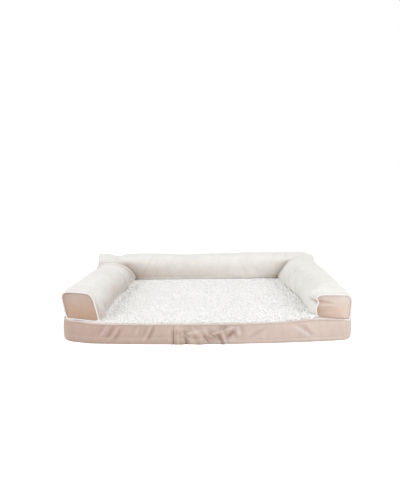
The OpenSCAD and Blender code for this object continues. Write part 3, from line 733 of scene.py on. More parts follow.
def tooth_group():
    """Zip teeth along the edges of a mesh, one for each pitch."""
    tree, given = node_group("Zip Teeth", Pitch=0.0018, Reach=0.0024, Thickness=0.0016)
    points = edge_points(tree, given, given["Pitch"])
    wide = add(tree, "times", given["Pitch"], 0.8)
    size = add(tree, "vector", wide, given["Thickness"], given["Reach"])
    tooth = add(tree, "bead", 8, 5, 0.5)
    close_group(tree, given, add(tree, "copies", points[0], tooth, size))


def dot_group():
    """A flat grip dot on each point."""
    tree, given = node_group("Grip Dots", Radius=0.004, Height=0.0006)
    disc = add(tree, "GeometryNodeMeshCylinder", {
        "Vertices": 10, "Side Segments": 1, "Radius": given["Radius"], "Depth": given["Height"]})
    close_group(tree, given, add(tree, "copies", given["Geometry"], disc))


def lock_group():
    """A curled lock of pile on each point, turned and sized at random from a fixed seed."""
    tree, given = node_group("Pile Locks", Pile=0.0085, Width=0.006, Curl=1.1, Seed=5)
    line = add(tree, "GeometryNodeCurvePrimitiveLine", {"Start": (0, 0, 0), "End": (0, 0, 1)})
    line = add(tree, "GeometryNodeResampleCurve", {"Curve": line, "Count": 4})
    along = add(tree, "GeometryNodeSplineParameter", port="Factor")
    angle = add(tree, "times", along, given["Curl"])
    squared = add(tree, "times", angle, angle)
    over, down = add(tree, "times", squared, 0.42), add(tree, "times", squared, -0.2)
    bend = add(tree, "vector", over, 0.0, down)
    curled = add(tree, "GeometryNodeSetPosition", {"Geometry": line, "Offset": bend})
    swell = add(tree, "ShaderNodeFloatCurve", {"Value": along})
    mapping = swell.node.mapping
    points = mapping.curves[0].points
    points[0].location, points[1].location = (0, 0.75), (1, 0.25)
    points.new(0.55, 1.0)
    mapping.update()
    thick = add(tree, "GeometryNodeSetCurveRadius", {"Curve": curled, "Radius": swell})
    lock = add(tree, "sweep", thick, add(tree, "ring", 5, 0.42), True, swell)
    turns = {0: (-0.35, -0.35, 0), 1: (0.35, 0.35, 6.283), "Seed": given["Seed"]}
    turn = add(tree, "FunctionNodeRandomValue", turns, data_type="FLOAT_VECTOR")
    sizes = {2: 0.75, 3: 1.2, "Seed": given["Seed"]}
    size = add(tree, "FunctionNodeRandomValue", sizes, port=1, data_type="FLOAT")
    box = add(tree, "vector", given["Width"], given["Width"], given["Pile"])
    scaled = add(tree, "ShaderNodeVectorMath", {0: box, "Scale": size}, operation="SCALE")
    close_group(tree, given, add(tree, "copies", given["Geometry"], lock, scaled, turn))


def grow(piece, group, finish_name, **values):
    """Runs a group on a piece with the given inputs, and leaves a plain mesh."""
    modifier = piece.modifiers.new(group, "NODES")
    modifier.node_group = bpy.data.node_groups[group]
    values["Finish"] = bpy.data.materials[finish_name]
    for socket in modifier.node_group.interface.items_tree:
        key = socket.name.replace(" ", "_")
        if socket.in_out == "INPUT" and key in values:
            modifier[socket.identifier] = values[key]
    return settle(piece)


def line_piece(name, points, closed=False):
    """An object of edges only, along points."""
    count = len(points)
    edges = [(i, (i + 1) % count) for i in range(count if closed else count - 1)]
    return new_object(name, points, edges=edges)


def cord(name, points, radius, finish_name, closed=True, sides=12):
    """A round cord along points, as a ring or with closed ends."""
    piece = line_piece(name, points, closed)
    grow(piece, "Cord Along Edge", finish_name, Radius=radius, Sides=sides)
    turn_out(piece)
    shade_faces(piece)
    return piece


def stitches(name, points, closed=True, spacing=4.2 * MM, stitch=3.0 * MM):
    """A row of stitches along points, each so long, a spacing apart."""
    return grow(line_piece(name, points, closed), "Stitch Row", "Spun thread", Stitch_Length=stitch,
                Spacing=spacing, Thickness=0.7 * MM)


def join(first, *others):
    """Joins plain meshes into the first one."""
    with bpy.context.temp_override(active_object=first, selected_editable_objects=[first, *others]):
        bpy.ops.object.join()
    return first


# Soft forms

def through(knots, q):
    """Points on a smooth curve through the knots, at shares q from 0 to 1."""
    k = np.asarray(knots, float)
    k = np.vstack([2 * k[0] - k[1], k, 2 * k[-1] - k[-2]])
    spans = len(k) - 3
    x = np.clip(np.asarray(q, float), 0, 1) * spans
    i = np.minimum(x.astype(int), spans - 1)
    f = (x - i)[:, None]
    a, b, c, d = k[i], k[i + 1], k[i + 2], k[i + 3]
    return 0.5 * (2 * b + (c - a) * f + (2 * a - 5 * b + 4 * c - d) * f ** 2
                  + (3 * b - a - 3 * c + d) * f ** 3)


def relaxed(mesh, values, rounds):
    """Values at the vertices, each averaged with its neighbours for so many rounds."""
    ends = read(mesh.edges, "vertices", 2, np.int32)
    count = np.bincount(ends.ravel(), minlength=len(mesh.vertices)).astype(float)
    count[count == 0] = 1
    out = np.asarray(values, float).reshape(len(mesh.vertices), -1)
    for _ in range(rounds):
        total = np.zeros_like(out)
        np.add.at(total, ends[:, 0], out[ends[:, 1]])
        np.add.at(total, ends[:, 1], out[ends[:, 0]])
        out = 0.5 * out + 0.5 * total / count[:, None]
    return out


def mark_hollows(mesh, depth=1.4 * MM, rounds=10):
    """Stores how deep each point lies in a fold's valley, up to 2, or on its ridge, down to -1.
    Where a skin has painted shading marked, that is added. The suede finishes paint shade where the
    value is above nought and light where it is below."""
    points = coordinates(mesh)
    inward = ((relaxed(mesh, points, rounds) - points) * vertex_normals(mesh)).sum(1)
    inward -= relaxed(mesh, inward, 60)[:, 0]
    value = np.clip(inward / depth, -1, 2)
    if "crushed" in mesh.attributes:
        value += read(mesh.attributes["crushed"].data, "value", 1, np.float32)[:, 0]
    mark(mesh, "hollow", value)


def thicken(piece, thickness):
    """Gives a cloth of one layer a wall, on its inner side."""
    wall = piece.modifiers.new("Thickness", "SOLIDIFY")
    wall.thickness, wall.offset, wall.use_even_offset = thickness, -1.0, False


def make_sheet(piece, thickness, slot, node, run, **held):
    """Gives a cloth of one layer its thickness and its place. Its flat size, run, is not used."""
    thicken(piece, thickness)
    dress(piece, slot, node)


CLOTH = {"quality": 6, "mass": 0.25, "tension_stiffness": 18, "compression_stiffness": 18,
         "shear_stiffness": 8, "bending_stiffness": 0.25, "tension_damping": 12,
         "compression_damping": 12, "air_damping": 3, "vertex_group_mass": "held",
         "pin_stiffness": 1.0, "use_pressure": True}


def stuffed(piece, held, sizes, slack):
    """How far each point of a closed skin swells in a cloth simulation, with the points in held
    kept where they are. slack is the share by which the cloth is larger than its form."""
    copy = linked(piece.name + "_skin", piece.data.copy())
    group = copy.vertex_groups.new(name="held")
    group.add(np.flatnonzero(held).tolist(), 1.0, "REPLACE")
    cloth = copy.modifiers.new("Stuffing", "CLOTH")
    for key, value in CLOTH.items():
        setattr(cloth.settings, key, value)
    cloth.settings.shrink_min = -slack
    cloth.settings.uniform_pressure_force = sizes.pressure
    cloth.settings.effector_weights.gravity = 0
    cloth.collision_settings.use_collision = False
    cloth.point_cache.frame_start, cloth.point_cache.frame_end = 1, sizes.frames
    scene = bpy.context.scene
    for step in range(1, sizes.frames + 1):
        scene.frame_set(step)
    swollen = copy.evaluated_get(bpy.context.evaluated_depsgraph_get())
    move = coordinates(swollen.to_mesh()) - coordinates(piece.data)
    swollen.to_mesh_clear()
    bpy.data.objects.remove(copy)
    scene.frame_set(1)
    size = np.linalg.norm(move, axis=1)
    return move * np.minimum(1, sizes.cap / np.maximum(size, 1e-9))[:, None]


def cut_out(piece, name, chosen):
    """A new piece from the faces whose corners are all among the chosen points."""
    def change(bm):
        bm.verts.ensure_lookup_table()
        gone = [face for face in bm.faces if not all(chosen[v.index] for v in face.verts)]
        bmesh.ops.delete(bm, geom=gone, context="FACES")
        bmesh.ops.delete(bm, geom=[v for v in bm.verts if not v.link_faces], context="VERTS")
    twin = linked(name, piece.data.copy())
    edit(twin.data, change)
    twin.data.name = name
    return twin


def refine(piece):
    """Divides a piece's faces once more."""
    finer = piece.modifiers.new("Finer", "SUBSURF")
    finer.levels = finer.render_levels = 1
    settle(piece)


# Bands

def ridges(x, v, folds):
    """Sum of straight folds. Each is (x, lean, half width, depth, from, to) in millimetres and
    shares of the height, at points given as x in metres and share v of the height."""
    total = np.zeros_like(x)
    for at, lean, half, depth, low, high in folds:
        fade = ease((v - low) / 0.3 + 0.5) * ease((high - v) / 0.3 + 0.5)
        total += depth * MM * bell((x / MM - at - lean * (v - 0.5)) / half, 0, 1) * fade
    return total


# Folds of the front band, read off the photograph: the seam's groove and the puckers it throws
FRONT_FOLDS = [
    (-122, 3, 5, 2.7, 0, 0.8), (-106, 3, 6, 4.1, 0.05, 0.8), (-94, -8, 8, 4.2, 0.05, 0.75),
    (-76, -67, 5, -6, 0.33, 0.6), (-84, -23, 5, -6.8, -0.1, 0.33), (-26, -62, 6, -3.4, 0.75, 1),
    (-85, 227, 14, -3.1, 0.57, 0.69), (-40, -26, 14, 5.1, 0, 0.55), (-19, -49, 4, -6.8, 0.05, 0.46),
    (-1, -21, 10, -2.7, 0.6, 0.9), (10, -105, 6, -7.6, 0.24, 0.54), (9, 199, 12, -5.4, 0.57, 0.83),
    (40, -33, 8, 6.5, 0, 0.62), (56, -16, 6, -3, 0, 0.5), (77, 34, 11, 6.0, 0.4, 0.75),
    (55, 0, 4.5, -5.1, 0.66, 1), (110, -9, 8, -4.4, 0.55, 1), (96, -22, 6, 2.6, 0.4, 0.7),
    (-365, 41, 7, -2.6, 0.45, 0.95), (-340, 41, 9, 2.4, 0.4, 0.95), (-324, 45, 7, -2.3, 0.3, 0.8),
    (-308, 41, 9, 1.6, 0.3, 0.85), (-246, 20, 7, -1.9, 0.55, 0.95), (-209, 34, 7, -2.9, 0.28, 0.97),
    (-196, 34, 8, 1.9, 0.3, 0.95), (333, -105, 14, -1.6, 0.35, 0.85),
    (351, -64, 12, 1.6, 0.35, 0.85), (160, 114, 14, 1.2, 0.4, 0.9)]
FOLD_DEPTH = 1.45     # how much deeper they are than read, so that they shade as in the photograph

# The band's section: how far drawn in from the outline, and how high, in millimetres
BAND_SECTION = [(13, 1.0), (6.5, 1.0), (3.4, 3.2), (1.7, 10), (0.6, 22), (0.3, 34), (0.9, 47),
                (2.4, 57), (3.9, 61.6), (5.6, 63.4)]


def make_band(name, form, stations, node, seam_end):
    """A side band of the pad, swept along its stations. seam_end is -1 or 1 for the end, first or
    last, that lies at the front's upright seam."""
    rows = 30
    v = np.linspace(0, 1, rows)
    section = through(BAND_SECTION, v) * MM
    run = lengths(stations[:, :2])
    x, share = np.meshgrid(stations[:, 0], v, indexing="ij")
    along, level = np.meshgrid(run, section[:, 1] / section[-1, 1], indexing="ij")
    front = np.clip((-stations[:, 3] - 0.9) / 0.08, 0, 1)[:, None]
    out = ridges(x, level, FRONT_FOLDS) * FOLD_DEPTH * front
    low = 0.33 - 0.16 * ease((x + 0.12) / 0.25)     # a faint crease runs along, above the foot
    out -= 1.0 * MM * bell(level, low, 0.04) * front
    rng = np.random.default_rng(11 if seam_end > 0 else 12)
    side, first, pitch = [], 30 * MM, 62 * MM     # soft folds along the pad's sides
    for at in np.arange(first, run[-1], pitch):
        depth = rng.uniform(0.5, 1.3)
        side.append((at / MM + rng.uniform(-18, 18), rng.uniform(-34, 34), rng.uniform(8, 15),
                     depth * rng.choice([-1, 1]), rng.uniform(-0.1, 0.3), rng.uniform(0.7, 1.1)))
    out += ridges(along, share, side) * (1 - 0.75 * front)
    swell = np.sin(math.pi * np.minimum(1, v[2:] * 1.05)) ** 0.6
    at = np.stack([along, np.tile(section[:, 1] * 0.45, (len(run), 1)),
                   np.full_like(along, seam_end * 0.1)], 2)[:, 2:]
    waves = fbm_sum(at.reshape(-1, 3), (1.5, 1, 0.11, 3), (0.8, 1, 0.03, 4))
    out[:, 2:] += swell * waves.reshape(len(run), -1)
    to_seam = (run[-1] - along) if seam_end > 0 else along
    deep = 3.5 + 3.5 * ease((0.72 - level) / 0.2)     # the front's seam, pulled open above the foot
    out -= deep * MM * bell(to_seam, 0, 2.8 * MM)
    out *= ease(v / 0.12) * ease((1 - v) / 0.05 + 0.35)     # none at the foot, less at the top
    drawn = (section[None, :, 0] - out)[:, :, None]
    points = np.dstack([stations[:, None, :2] - drawn * stations[:, None, 2:],
                        np.tile(section[:, 1], (len(run), 1))]).reshape(-1, 3)
    piece = new_object(name, form.as_it_lies(points), strip(0, len(run), rows, False))
    smooth(piece, BANDS_FINISH)
    mark_hollows(piece.data, 1.8 * MM, 24)
    make_sheet(piece, form.pad.suede, "taupe_suede", node, run[-1], rests_on=["bottom_sheet"])


def make_back_band(name, form, low, high, node, hem):
    """A flat strip of the back band, with the hem that faces the zip rolled over. Beyond the zip's
    tapes the two hems are sewn together."""
    line = form.back_line(4 * MM)
    rows = 16
    v = np.linspace(0, 1, rows)
    edge = (v if hem < 0 else 1 - v) * (high - low)
    rolled, sewn = bell(edge, 0, 1.6 * MM), bell(edge, 4.2 * MM, 1.0 * MM)
    y = form.back_face - 1.1 * MM * rolled - 0.7 * MM * sewn
    tape_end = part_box("zip_upper_tape")[1].x
    points = []
    for x in line[:, 0]:
        met = (form.zip.slit / 2 - 0.3 * MM) * ease((abs(x) - tape_end + 10 * MM) / (9 * MM))
        z = (low - met * (hem < 0)) + (high - low + met) * v
        for j in range(rows):
            wave = 1.1 * fbm((x, z[j] * 0.5, hem), 0.07, 6) + 0.5 * fbm((x, z[j], hem), 0.02, 7)
            points.append((x, y[j] + wave * MM * math.sin(math.pi * v[j]), z[j]))
    piece = new_object(name, points, strip(0, len(line), rows, False))
    smooth(piece, BANDS_FINISH)
    mark_hollows(piece.data)
    make_sheet(piece, form.pad.suede * 0.9, "taupe_suede", node, 2 * form.corner_x)


def make_bands(form):
    """The four bands round the pad: the left and right ones, and the two at the zip."""
    stations = form.outline(3 * MM)
    at_seam = int(np.flatnonzero((stations[:, 3] < -0.9) & (stations[:, 0] > -form.pad.seam_x))[0])
    before, after = stations[at_seam - 1], stations[at_seam]
    seam = before + (after - before) * (-form.pad.seam_x - before[0]) / (after[0] - before[0])
    near = 12                                    # the stations near the seam lie closer together
    fine = np.linspace(0, 1, 26)[:, None]
    to_left = seam + (stations[at_seam - near] - seam) * (1 - fine)
    to_right = seam + (stations[at_seam + near] - seam) * fine
    left = np.vstack([stations[:at_seam - near], to_left])
    right = np.vstack([to_right, stations[at_seam + near + 1:]])
    make_band("left_band_cloth", form, left, "left_band", 1)
    make_band("right_band_cloth", form, right, "right_band", -1)
    z, slit = form.zip.height, form.zip.slit
    top, foot = form.piping_z - form.piping_r - 0.3 * MM, 1.6 * MM
    make_back_band("back_band_upper_cloth", form, z + slit / 2, top, "back_band_upper", -1)
    make_back_band("back_band_lower_cloth", form, foot, z - slit / 2, "back_band_lower", 1)
    seams = [stitches("zip_stitches_" + word,
                      [(x, form.back_face + 0.25 * MM, z + way * (slit / 2 + 4.2 * MM))
                       for x in form.back_line(20 * MM)[:, 0]], closed=False)
             for word, way in (("a", -1), ("b", 1))]
    dress(join(*seams), "zip_tape")


def make_top_piping(form):
    """The piping in the seam between the bands and the plush, with its stitches."""
    r = form.piping_r
    path, row = [], []
    for x, y, nx, ny in np.vstack([form.outline(5 * MM), form.back_line(5 * MM)[1:-1]]):
        front = max(0.0, -ny) ** 8
        tugs = 1.4 * bell(x, -form.pad.seam_x, 0.012) + 0.9 * bell(x, 0.062, 0.012) \
            + 0.7 * bell(x, 0.118, 0.010)
        pulled = (0.9 * fbm((x, y, 0), 0.045, 61) - front * tugs) * MM
        path.append((x - nx * (r - pulled), y - ny * (r - pulled), form.piping_z + 0.6 * pulled))
        row.append((x - nx * (2.6 * r), y - ny * (2.6 * r), form.pad.deck + 0.4 * MM))
    piece = cord("top_piping_cord", form.as_it_lies(path), r, "Twill rim piping")
    join(piece, stitches("top_piping_stitches", form.as_it_lies(row), spacing=5 * MM,
                         stitch=3.4 * MM))
    dress(piece, "piping", "top_piping")


# Bolsters

def bolster_skin(name, rings, tips):
    """A closed skin through rings of points, from the first tip to the last."""
    count = len(rings[0])
    points = [tips[0], *[p for ring in rings for p in ring], tips[1]]
    faces = strip(1, len(rings), count, True)
    last = 1 + (len(rings) - 1) * count
    faces += [(0, 1 + (j + 1) % count, 1 + j) for j in range(count)]
    faces += [(len(points) - 1, last + j, last + (j + 1) % count) for j in range(count)]
    piece = new_object(name, points, faces)
    turn_out(piece, weld=0)
    return piece


def per_point(values, sides):
    """The points' values in a skin, from one for each ring. The tips take the end rings' values."""
    return np.concatenate([values[:1], np.repeat(values, sides), values[-1:]])


def part_skin(skin, form, parts):
    """Parts a swollen skin into its cover and its end panels, by the points that each takes."""
    for node, slot, finish_name, chosen in parts:
        piece = cut_out(skin, node + "_form", chosen)
        refine(piece)
        smooth(piece, finish_name)
        mark_hollows(piece.data)
        thicken(piece, form.pad.suede)
        dress(piece, slot, node)
    bpy.data.objects.remove(skin)


def seam_puckers(distance, angle, seed):
    """Radial puckers that a piped seam throws, at a distance from it and an angle round it."""
    count, height, reach, held_near = 23, 1.5 * MM, 26 * MM, 3 * MM
    rng = np.random.default_rng(seed)
    total = np.zeros_like(distance)
    for _ in range(count):
        at = rng.uniform(0, 2 * math.pi)
        wide = rng.uniform(0.05, 0.12)
        far = reach * rng.uniform(0.5, 1.5)
        near = np.abs((angle - at + math.pi) % (2 * math.pi) - math.pi)
        total += rng.choice([-1, -1, 1]) * rng.uniform(0.4, 1.0) * bell(near, 0, wide) \
            * np.exp(-distance / far)
    return height * total * (1 - np.exp(-distance / held_near))


# Kinds of points in a bolster's skin
FIRST_END, FIRST_SEAM, TUBE, LAST_SEAM, LAST_END = range(5)

# Creases, read off the photograph, with depths, widths and heights in millimetres
# Across an arm: share of its length, half width, depth
ARM_CREASES = (0.30, 11, -0.8), (0.47, 14, -0.6), (0.66, 13, -0.8), (0.83, 14, -1.2)
# Over the right arm's panel, from its pinched side: height, slope, depth
PANEL_CREASES = (58, -0.12, -3.4), (48, -0.05, 2.2), (30, 0.1, -1.4)
# Along the right arm's inner side, from the pinch: height, slope, depth, reach
PINCH_CREASES = (62, 0.22, -5, 20), (52, 0.1, 2.6, 24), (38, 0.25, -2.5, 26)
# Down the back: place in metres, lean, half width, depth
BACK_CREASES = ((-0.30, 0.5, 10, -2.2), (-0.16, -0.3, 13, -1.4), (0.03, 0.3, 12, -1.2),
                (0.19, -0.4, 11, -1.7), (0.31, 0.55, 9, -2.6), (0.36, -0.4, 9, -1.6))
# Shares of the way out at which an end's rings lie
ARM_FRONT_RINGS = 0.12, 0.26, 0.4, 0.53, 0.65, 0.76, 0.86, 0.94
ARM_REAR_RINGS = 0.96, 0.88, 0.74, 0.56, 0.36, 0.16
BACK_END_RINGS = 0.14, 0.32, 0.5, 0.66, 0.8, 0.92


def make_arm(form, side):
    """One stuffed arm: its cover, closed at the rear, and the round panel at its front."""
    word = "left" if side < 0 else "right"
    sides = 64
    t = even_angles(lambda a: form.arm_ring(0.5, a), sides)
    near_rim = 0.1     # the share of the arm with closer rings, for the puckers
    shares = np.concatenate([np.linspace(0, near_rim, 17)[:-1], np.linspace(near_rim, 1, 78)])
    bulge = 5.5 * MM * np.array([0, 1, 0])
    front = [form.arm_ring(0, t, 0, r, side) - bulge * (1 - r * r) for r in ARM_FRONT_RINGS]
    tube = [form.arm_ring(s, t, 0, 1, side) for s in shares]
    rear = [form.arm_ring(1, t, 0, r, side) for r in ARM_REAR_RINGS]
    tips = (form.arm_ring(0, t[:1], 0, 0, side)[0] - bulge, form.arm_ring(1, t[:1], 0, 0, side)[0])
    skin = bolster_skin(word + "_arm_skin", front + tube + rear, tips)
    kind = per_point([FIRST_END] * len(front) + [FIRST_SEAM] + [TUBE] * (len(tube) - 1 + len(rear)),
                     sides)
    along = per_point([0.0] * len(front) + list(shares) + [1.0] * len(rear), sides)
    angle = np.array([0, *np.tile(t, len(front) + len(tube) + len(rear)), 0])
    panel, seam, cover = kind == FIRST_END, kind == FIRST_SEAM, kind == TUBE
    rest = coordinates(skin.data)
    level = rest[:, 2] - form.base_z
    foot = level < 2.5 * MM
    held = seam | foot | (cover & (along > 0.985))
    normals = vertex_normals(skin.data)
    move = relaxed(skin.data, stuffed(skin, held, form.bolster, 0.04), 2)
    move *= np.where(panel, 0.25, 0.8)[:, None]

    # puckers and pleats at the seam, soft waves, and creases across the arm
    from_rim = along * (form.back_edge - form.arm_front)
    inner_face = np.clip(-np.cos(angle), 0, 1)
    shape = seam_puckers(from_rim, angle, 5 if side < 0 else 8) * cover
    pleats = np.sin(from_rim / (6.5 * MM) * math.pi + 1.5 * np.sin(rest[:, 2] / (16 * MM))) \
        * bell(from_rim, 0, 150 * MM) * inner_face ** 2
    shape += (0.9 if side < 0 else 0.45) * MM * pleats * cover
    soft = fbm_sum(rest, (2.2, (1, 0.5, 1), 0.13, 20 + side),
                   (0.9, (0.6, 1, 0.6), 0.035, 23 + side))
    shape += soft * np.select([cover, panel], [1, 0.5])
    crease = np.zeros(len(rest))
    for at, wide, depth in ARM_CREASES:
        start = form.arm_front + (at + 0.10 * side) * 0.62
        slant = (rest[:, 0] - form.arm_mid(0.5)) * 0.55
        crease += depth * MM * bell(rest[:, 1] - start, slant, wide * MM)
    shape += crease * np.clip(np.cos(angle - (0.8 if side > 0 else 2.3)), 0, 1) * cover
    if side > 0:   # the right arm's seam is pinched at its inner side, and creases run from there
        over = rest[:, 0] - tips[0][0]
        inward = ease((10 * MM - over) / (40 * MM))
        for at, slope, depth in PANEL_CREASES:
            shape += depth * MM * bell(level - at * MM, slope * over, 4.5 * MM) * inward * panel
        for at, slope, depth, reach in PINCH_CREASES:
            shape += depth * MM * bell(level - at * MM, slope * from_rim, 4 * MM) \
                * np.exp(-from_rim / (reach * MM)) * inner_face ** 2 * cover
    near_back = 1 - ease((along - 0.93) / 0.06)
    shape *= near_back * np.where(foot & cover, 0, 1) * (0.25 + 0.75 * ease(level / (30 * MM)))
    loose = (near_back * np.where(seam, 0, 1))[:, None]
    points = form.on_its_side(rest + move * loose + normals * shape[:, None], side)
    points[:, 2] = np.maximum(points[:, 2], form.base_z)
    place(skin.data, form.as_it_lies(points))
    if side < 0:
        skin.data.flip_normals()

    # painted shade along the seam and in the valley at the rear
    to_rear = np.exp((along - 1) * (form.back_mid - form.arm_front) / (22 * MM))
    crushed = cover * (0.9 * np.exp(-from_rim / (6 * MM)) + 1.2 * to_rear * inner_face)
    if side > 0:   # and along the creases at the pinch, and at the panel's inner side
        tuck = bell(level - 60 * MM, 0.22 * from_rim, 5 * MM) * np.exp(-from_rim / (24 * MM))
        crushed += cover * 2.6 * tuck * inner_face ** 2
        # across the right arm's panel: painted shade at its inner side, most low down, and painted
        # light towards its outer side
        low_down = 1 - 0.6 * ease((level - 55 * MM) / (30 * MM))
        across = over / (75 * MM)
        darker, paler = 1 - ease((across + 0.9) / 0.9), ease((across + 0.1) / 0.7)
        crushed += panel * (darker * low_down - 0.6 * paler)
    mark(skin.data, "crushed", crushed)
    part_skin(skin, form, ((word + "_arm_cover", "ivory_suede", COVERS_FINISH, ~panel),
                           (word + "_arm_end_panel", "taupe_suede", BANDS_FINISH, panel | seam)))
    rim_angles = even_angles(lambda a: form.arm_ring(0, a, 0, 1, side), 110)
    rim = form.on_its_side(form.arm_ring(0, rim_angles, 0.6 * MM, 1, side), side)
    make_end_piping(form, word + "_arm_piping", rim, np.array([0, -1.0, 0]))


def make_end_piping(form, node, rim, out):
    """The piped seam round an end: its cord, and a row of stitches on either side of it."""
    radius = form.bolster.piping / 2
    wavy = [p + out * (0.3 * MM + radius * 0.8 + 0.5 * MM * fbm(p, 0.02, 31)) for p in rim]
    piece = cord(node + "_cord", form.as_it_lies(wavy), radius, "Twill piping")
    middle = rim.mean(0)
    inner = form.as_it_lies(rim + (middle - rim) * 0.085 + out * 2.6 * MM)
    outer = form.as_it_lies(rim - out * 3.2 * MM + (rim - middle) * 0.012)
    join(piece, stitches(node + "_inner", inner), stitches(node + "_outer", outer))
    dress(piece, "piping", node)


def make_back(form):
    """The stuffed back bolster, with a round panel at each end."""
    sides = 68
    b, half = form.bolster, form.back_half
    t = even_angles(lambda a: form.back_ring(0, a), sides)
    near = np.linspace(0, 0.11, 14)[:-1]
    stations = np.concatenate([-1 + near, np.linspace(-0.89, 0.89, 118), 1 - near[::-1]]) * half
    bulge = 5 * MM * np.array([1, 0, 0])
    ends = [[form.back_ring(sign * half, t, 0, r) + sign * bulge * (1 - r * r)
             for r in BACK_END_RINGS[::-sign]] for sign in (-1, 1)]
    tips = [form.back_ring(sign * half, t[:1], 0, 0)[0] + sign * bulge for sign in (-1, 1)]
    tube = [form.back_ring(x, t) for x in stations]
    skin = bolster_skin("back_skin", ends[0] + tube + ends[1], tips)
    kind = per_point([FIRST_END] * len(ends[0]) + [FIRST_SEAM] + [TUBE] * (len(tube) - 2)
                     + [LAST_SEAM] + [LAST_END] * len(ends[1]), sides)
    angle = np.array([0, *np.tile(t, len(ends[0]) + len(tube) + len(ends[1])), 0])
    rest = coordinates(skin.data)
    x, level = rest[:, 0], rest[:, 2] - form.base_z
    foot = level < 2.5 * MM
    cover, rim = kind == TUBE, (kind == FIRST_SEAM) | (kind == LAST_SEAM)
    normals = vertex_normals(skin.data)
    # the arms lean on its front, out past this line, as high as they are
    inner = form.arm_mid(1) - form.arm_half(1) - 16 * MM
    touching = ease((np.abs(x) - inner) / (12 * MM)) \
        * ease((form.back_mid - 5 * MM - rest[:, 1]) / (20 * MM)) \
        * ease((form.crest_z - 9 * MM - rest[:, 2]) / (8 * MM))
    held = rim | foot | (touching > 0.5)
    move = relaxed(skin.data, stuffed(skin, held, b, 0.012), 6) * 0.55
    shape = seam_puckers(half - np.abs(x), angle + (x > 0) * 1.9, 14) * cover
    soft = fbm_sum(rest, (2.6, (0.5, 1, 1), 0.12, 27), (1.0, (1, 0.6, 0.6), 0.036, 28))
    shape += soft * np.where(cover, 1, 0.4)
    for at, lean, wide, depth in BACK_CREASES:
        shape += depth * MM * bell(x, at + lean * level, wide * MM) \
            * np.clip(np.cos(angle - 2.6), 0, 1) * cover
    # the crest is pressed down a little, left of its middle
    pressed = 6 * MM * bell(x, -0.14, 0.13) * ease((level - 50 * MM) / (50 * MM))
    free = (1 - touching) * np.where(rim, 0, 1)
    shape *= free * np.where(foot & cover, 0, 1)
    points = rest + move * free[:, None] + normals * shape[:, None]
    points[:, 2] = np.maximum(points[:, 2] - pressed, form.base_z)
    place(skin.data, points)
    # painted shade in the two valleys beside the arms, most low down
    high = np.clip(level / b.height, 0, 1)
    gap = np.abs(np.abs(x) - (inner + 22 * MM + 50 * MM * high))
    crushed = np.exp(-gap / (13 * MM)) + 0.9 * np.exp(-gap / (60 * MM)) \
        + 2.2 * np.exp(-np.hypot(gap, 0.8 * b.height * high) / (26 * MM))
    crushed *= ease((form.back_mid - rest[:, 1]) / (40 * MM)) * (1 - ease((high - 0.66) / 0.22))
    mark(skin.data, "crushed", crushed * cover)
    part_skin(skin, form, (
        ("back_bolster_cover", "ivory_suede", COVERS_FINISH, cover | rim),
        ("back_left_end_panel", "taupe_suede", BANDS_FINISH, kind <= FIRST_SEAM),
        ("back_right_end_panel", "taupe_suede", BANDS_FINISH, kind >= LAST_SEAM)))
    rim_angles = even_angles(lambda a: form.back_ring(half, a), 96)
    for word, sign in (("left", -1), ("right", 1)):
        ring = form.back_ring(sign * half, rim_angles, 0.6 * MM)
        make_end_piping(form, f"back_{word}_piping", ring, np.array([float(sign), 0, 0]))


def make_junction_seams(form):
    """The seams in the valleys where the arms are sewn to the back, the left one piped."""
    t = np.linspace(math.radians(-20), math.radians(198), 80)
    for side, word, drawn, radius in ((-1, "left", -1.2, 2.3), (1, "right", 2.5, 1.8)):
        ring = form.on_its_side(form.arm_ring(0.992, t, drawn * MM, 1, side), side)
        piece = cord(word + "_junction_seam", ring, radius * MM, "Twill piping", closed=False)
        dress(piece, "piping")


def make_fill(form, name, rings, tips):
    """Fibre stuffing: the inside of a bolster, lumpy where the fibre gathers."""
    piece = bolster_skin(name + "_form", rings, tips)
    points = coordinates(piece.data)
    lumps = fbm_sum(points, (1.6, 1, 0.05, 41)) - 1.6 * MM
    place(piece.data, form.as_it_lies(points + vertex_normals(piece.data) * lumps[:, None]))
    refine(piece)
    smooth(piece, "Loose fibre")
    dress(piece, "fibre_fill", name)


def make_fills(form):
    """The stuffing of the two arms and of the back."""
    t = np.linspace(0, 2 * math.pi, 33)[:-1]
    d = 12 * MM
    shares = np.linspace(0.03, 0.99, 40)
    for side, word in ((-1, "left"), (1, "right")):
        flip = np.array([side, 1, 1])
        rings = [form.arm_ring(s, t, d, r, side) * flip
                 for s, r in [(s, 1) for s in shares] + [(1, 0.8), (1, 0.5), (1, 0.2)]]
        tips = [form.arm_ring(s, t[:1], d, 0, side)[0] * flip for s in (shares[0], 1)]
        make_fill(form, word + "_arm_fill", rings, tips)
    reach = form.back_half - 9 * MM
    rings = [form.back_ring(x, t, d) for x in np.linspace(-reach, reach, 60)]
    make_fill(form, "back_bolster_fill", rings,
              [form.back_ring(x, t[:1], d, 0)[0] for x in (-reach, reach)])


# The pad

def slab(form, d, step, rows):
    """A grid of points that fills the outline drawn in by d, column by column."""
    last = form.half_w - d
    corner = form.corner_x + (last - form.corner_x) * np.sin(np.linspace(0, math.pi / 2, 9))
    inner = np.linspace(-form.corner_x, form.corner_x, math.ceil(2 * form.corner_x / step) + 1)
    xs = np.concatenate([-corner[::-1], inner[1:-1], corner])
    x = np.repeat(xs[:, None], rows, 1)
    low, high = form.front_y(x, d), form.back_y(x, d)
    return x, low + (high - low) * np.linspace(0, 1, rows)


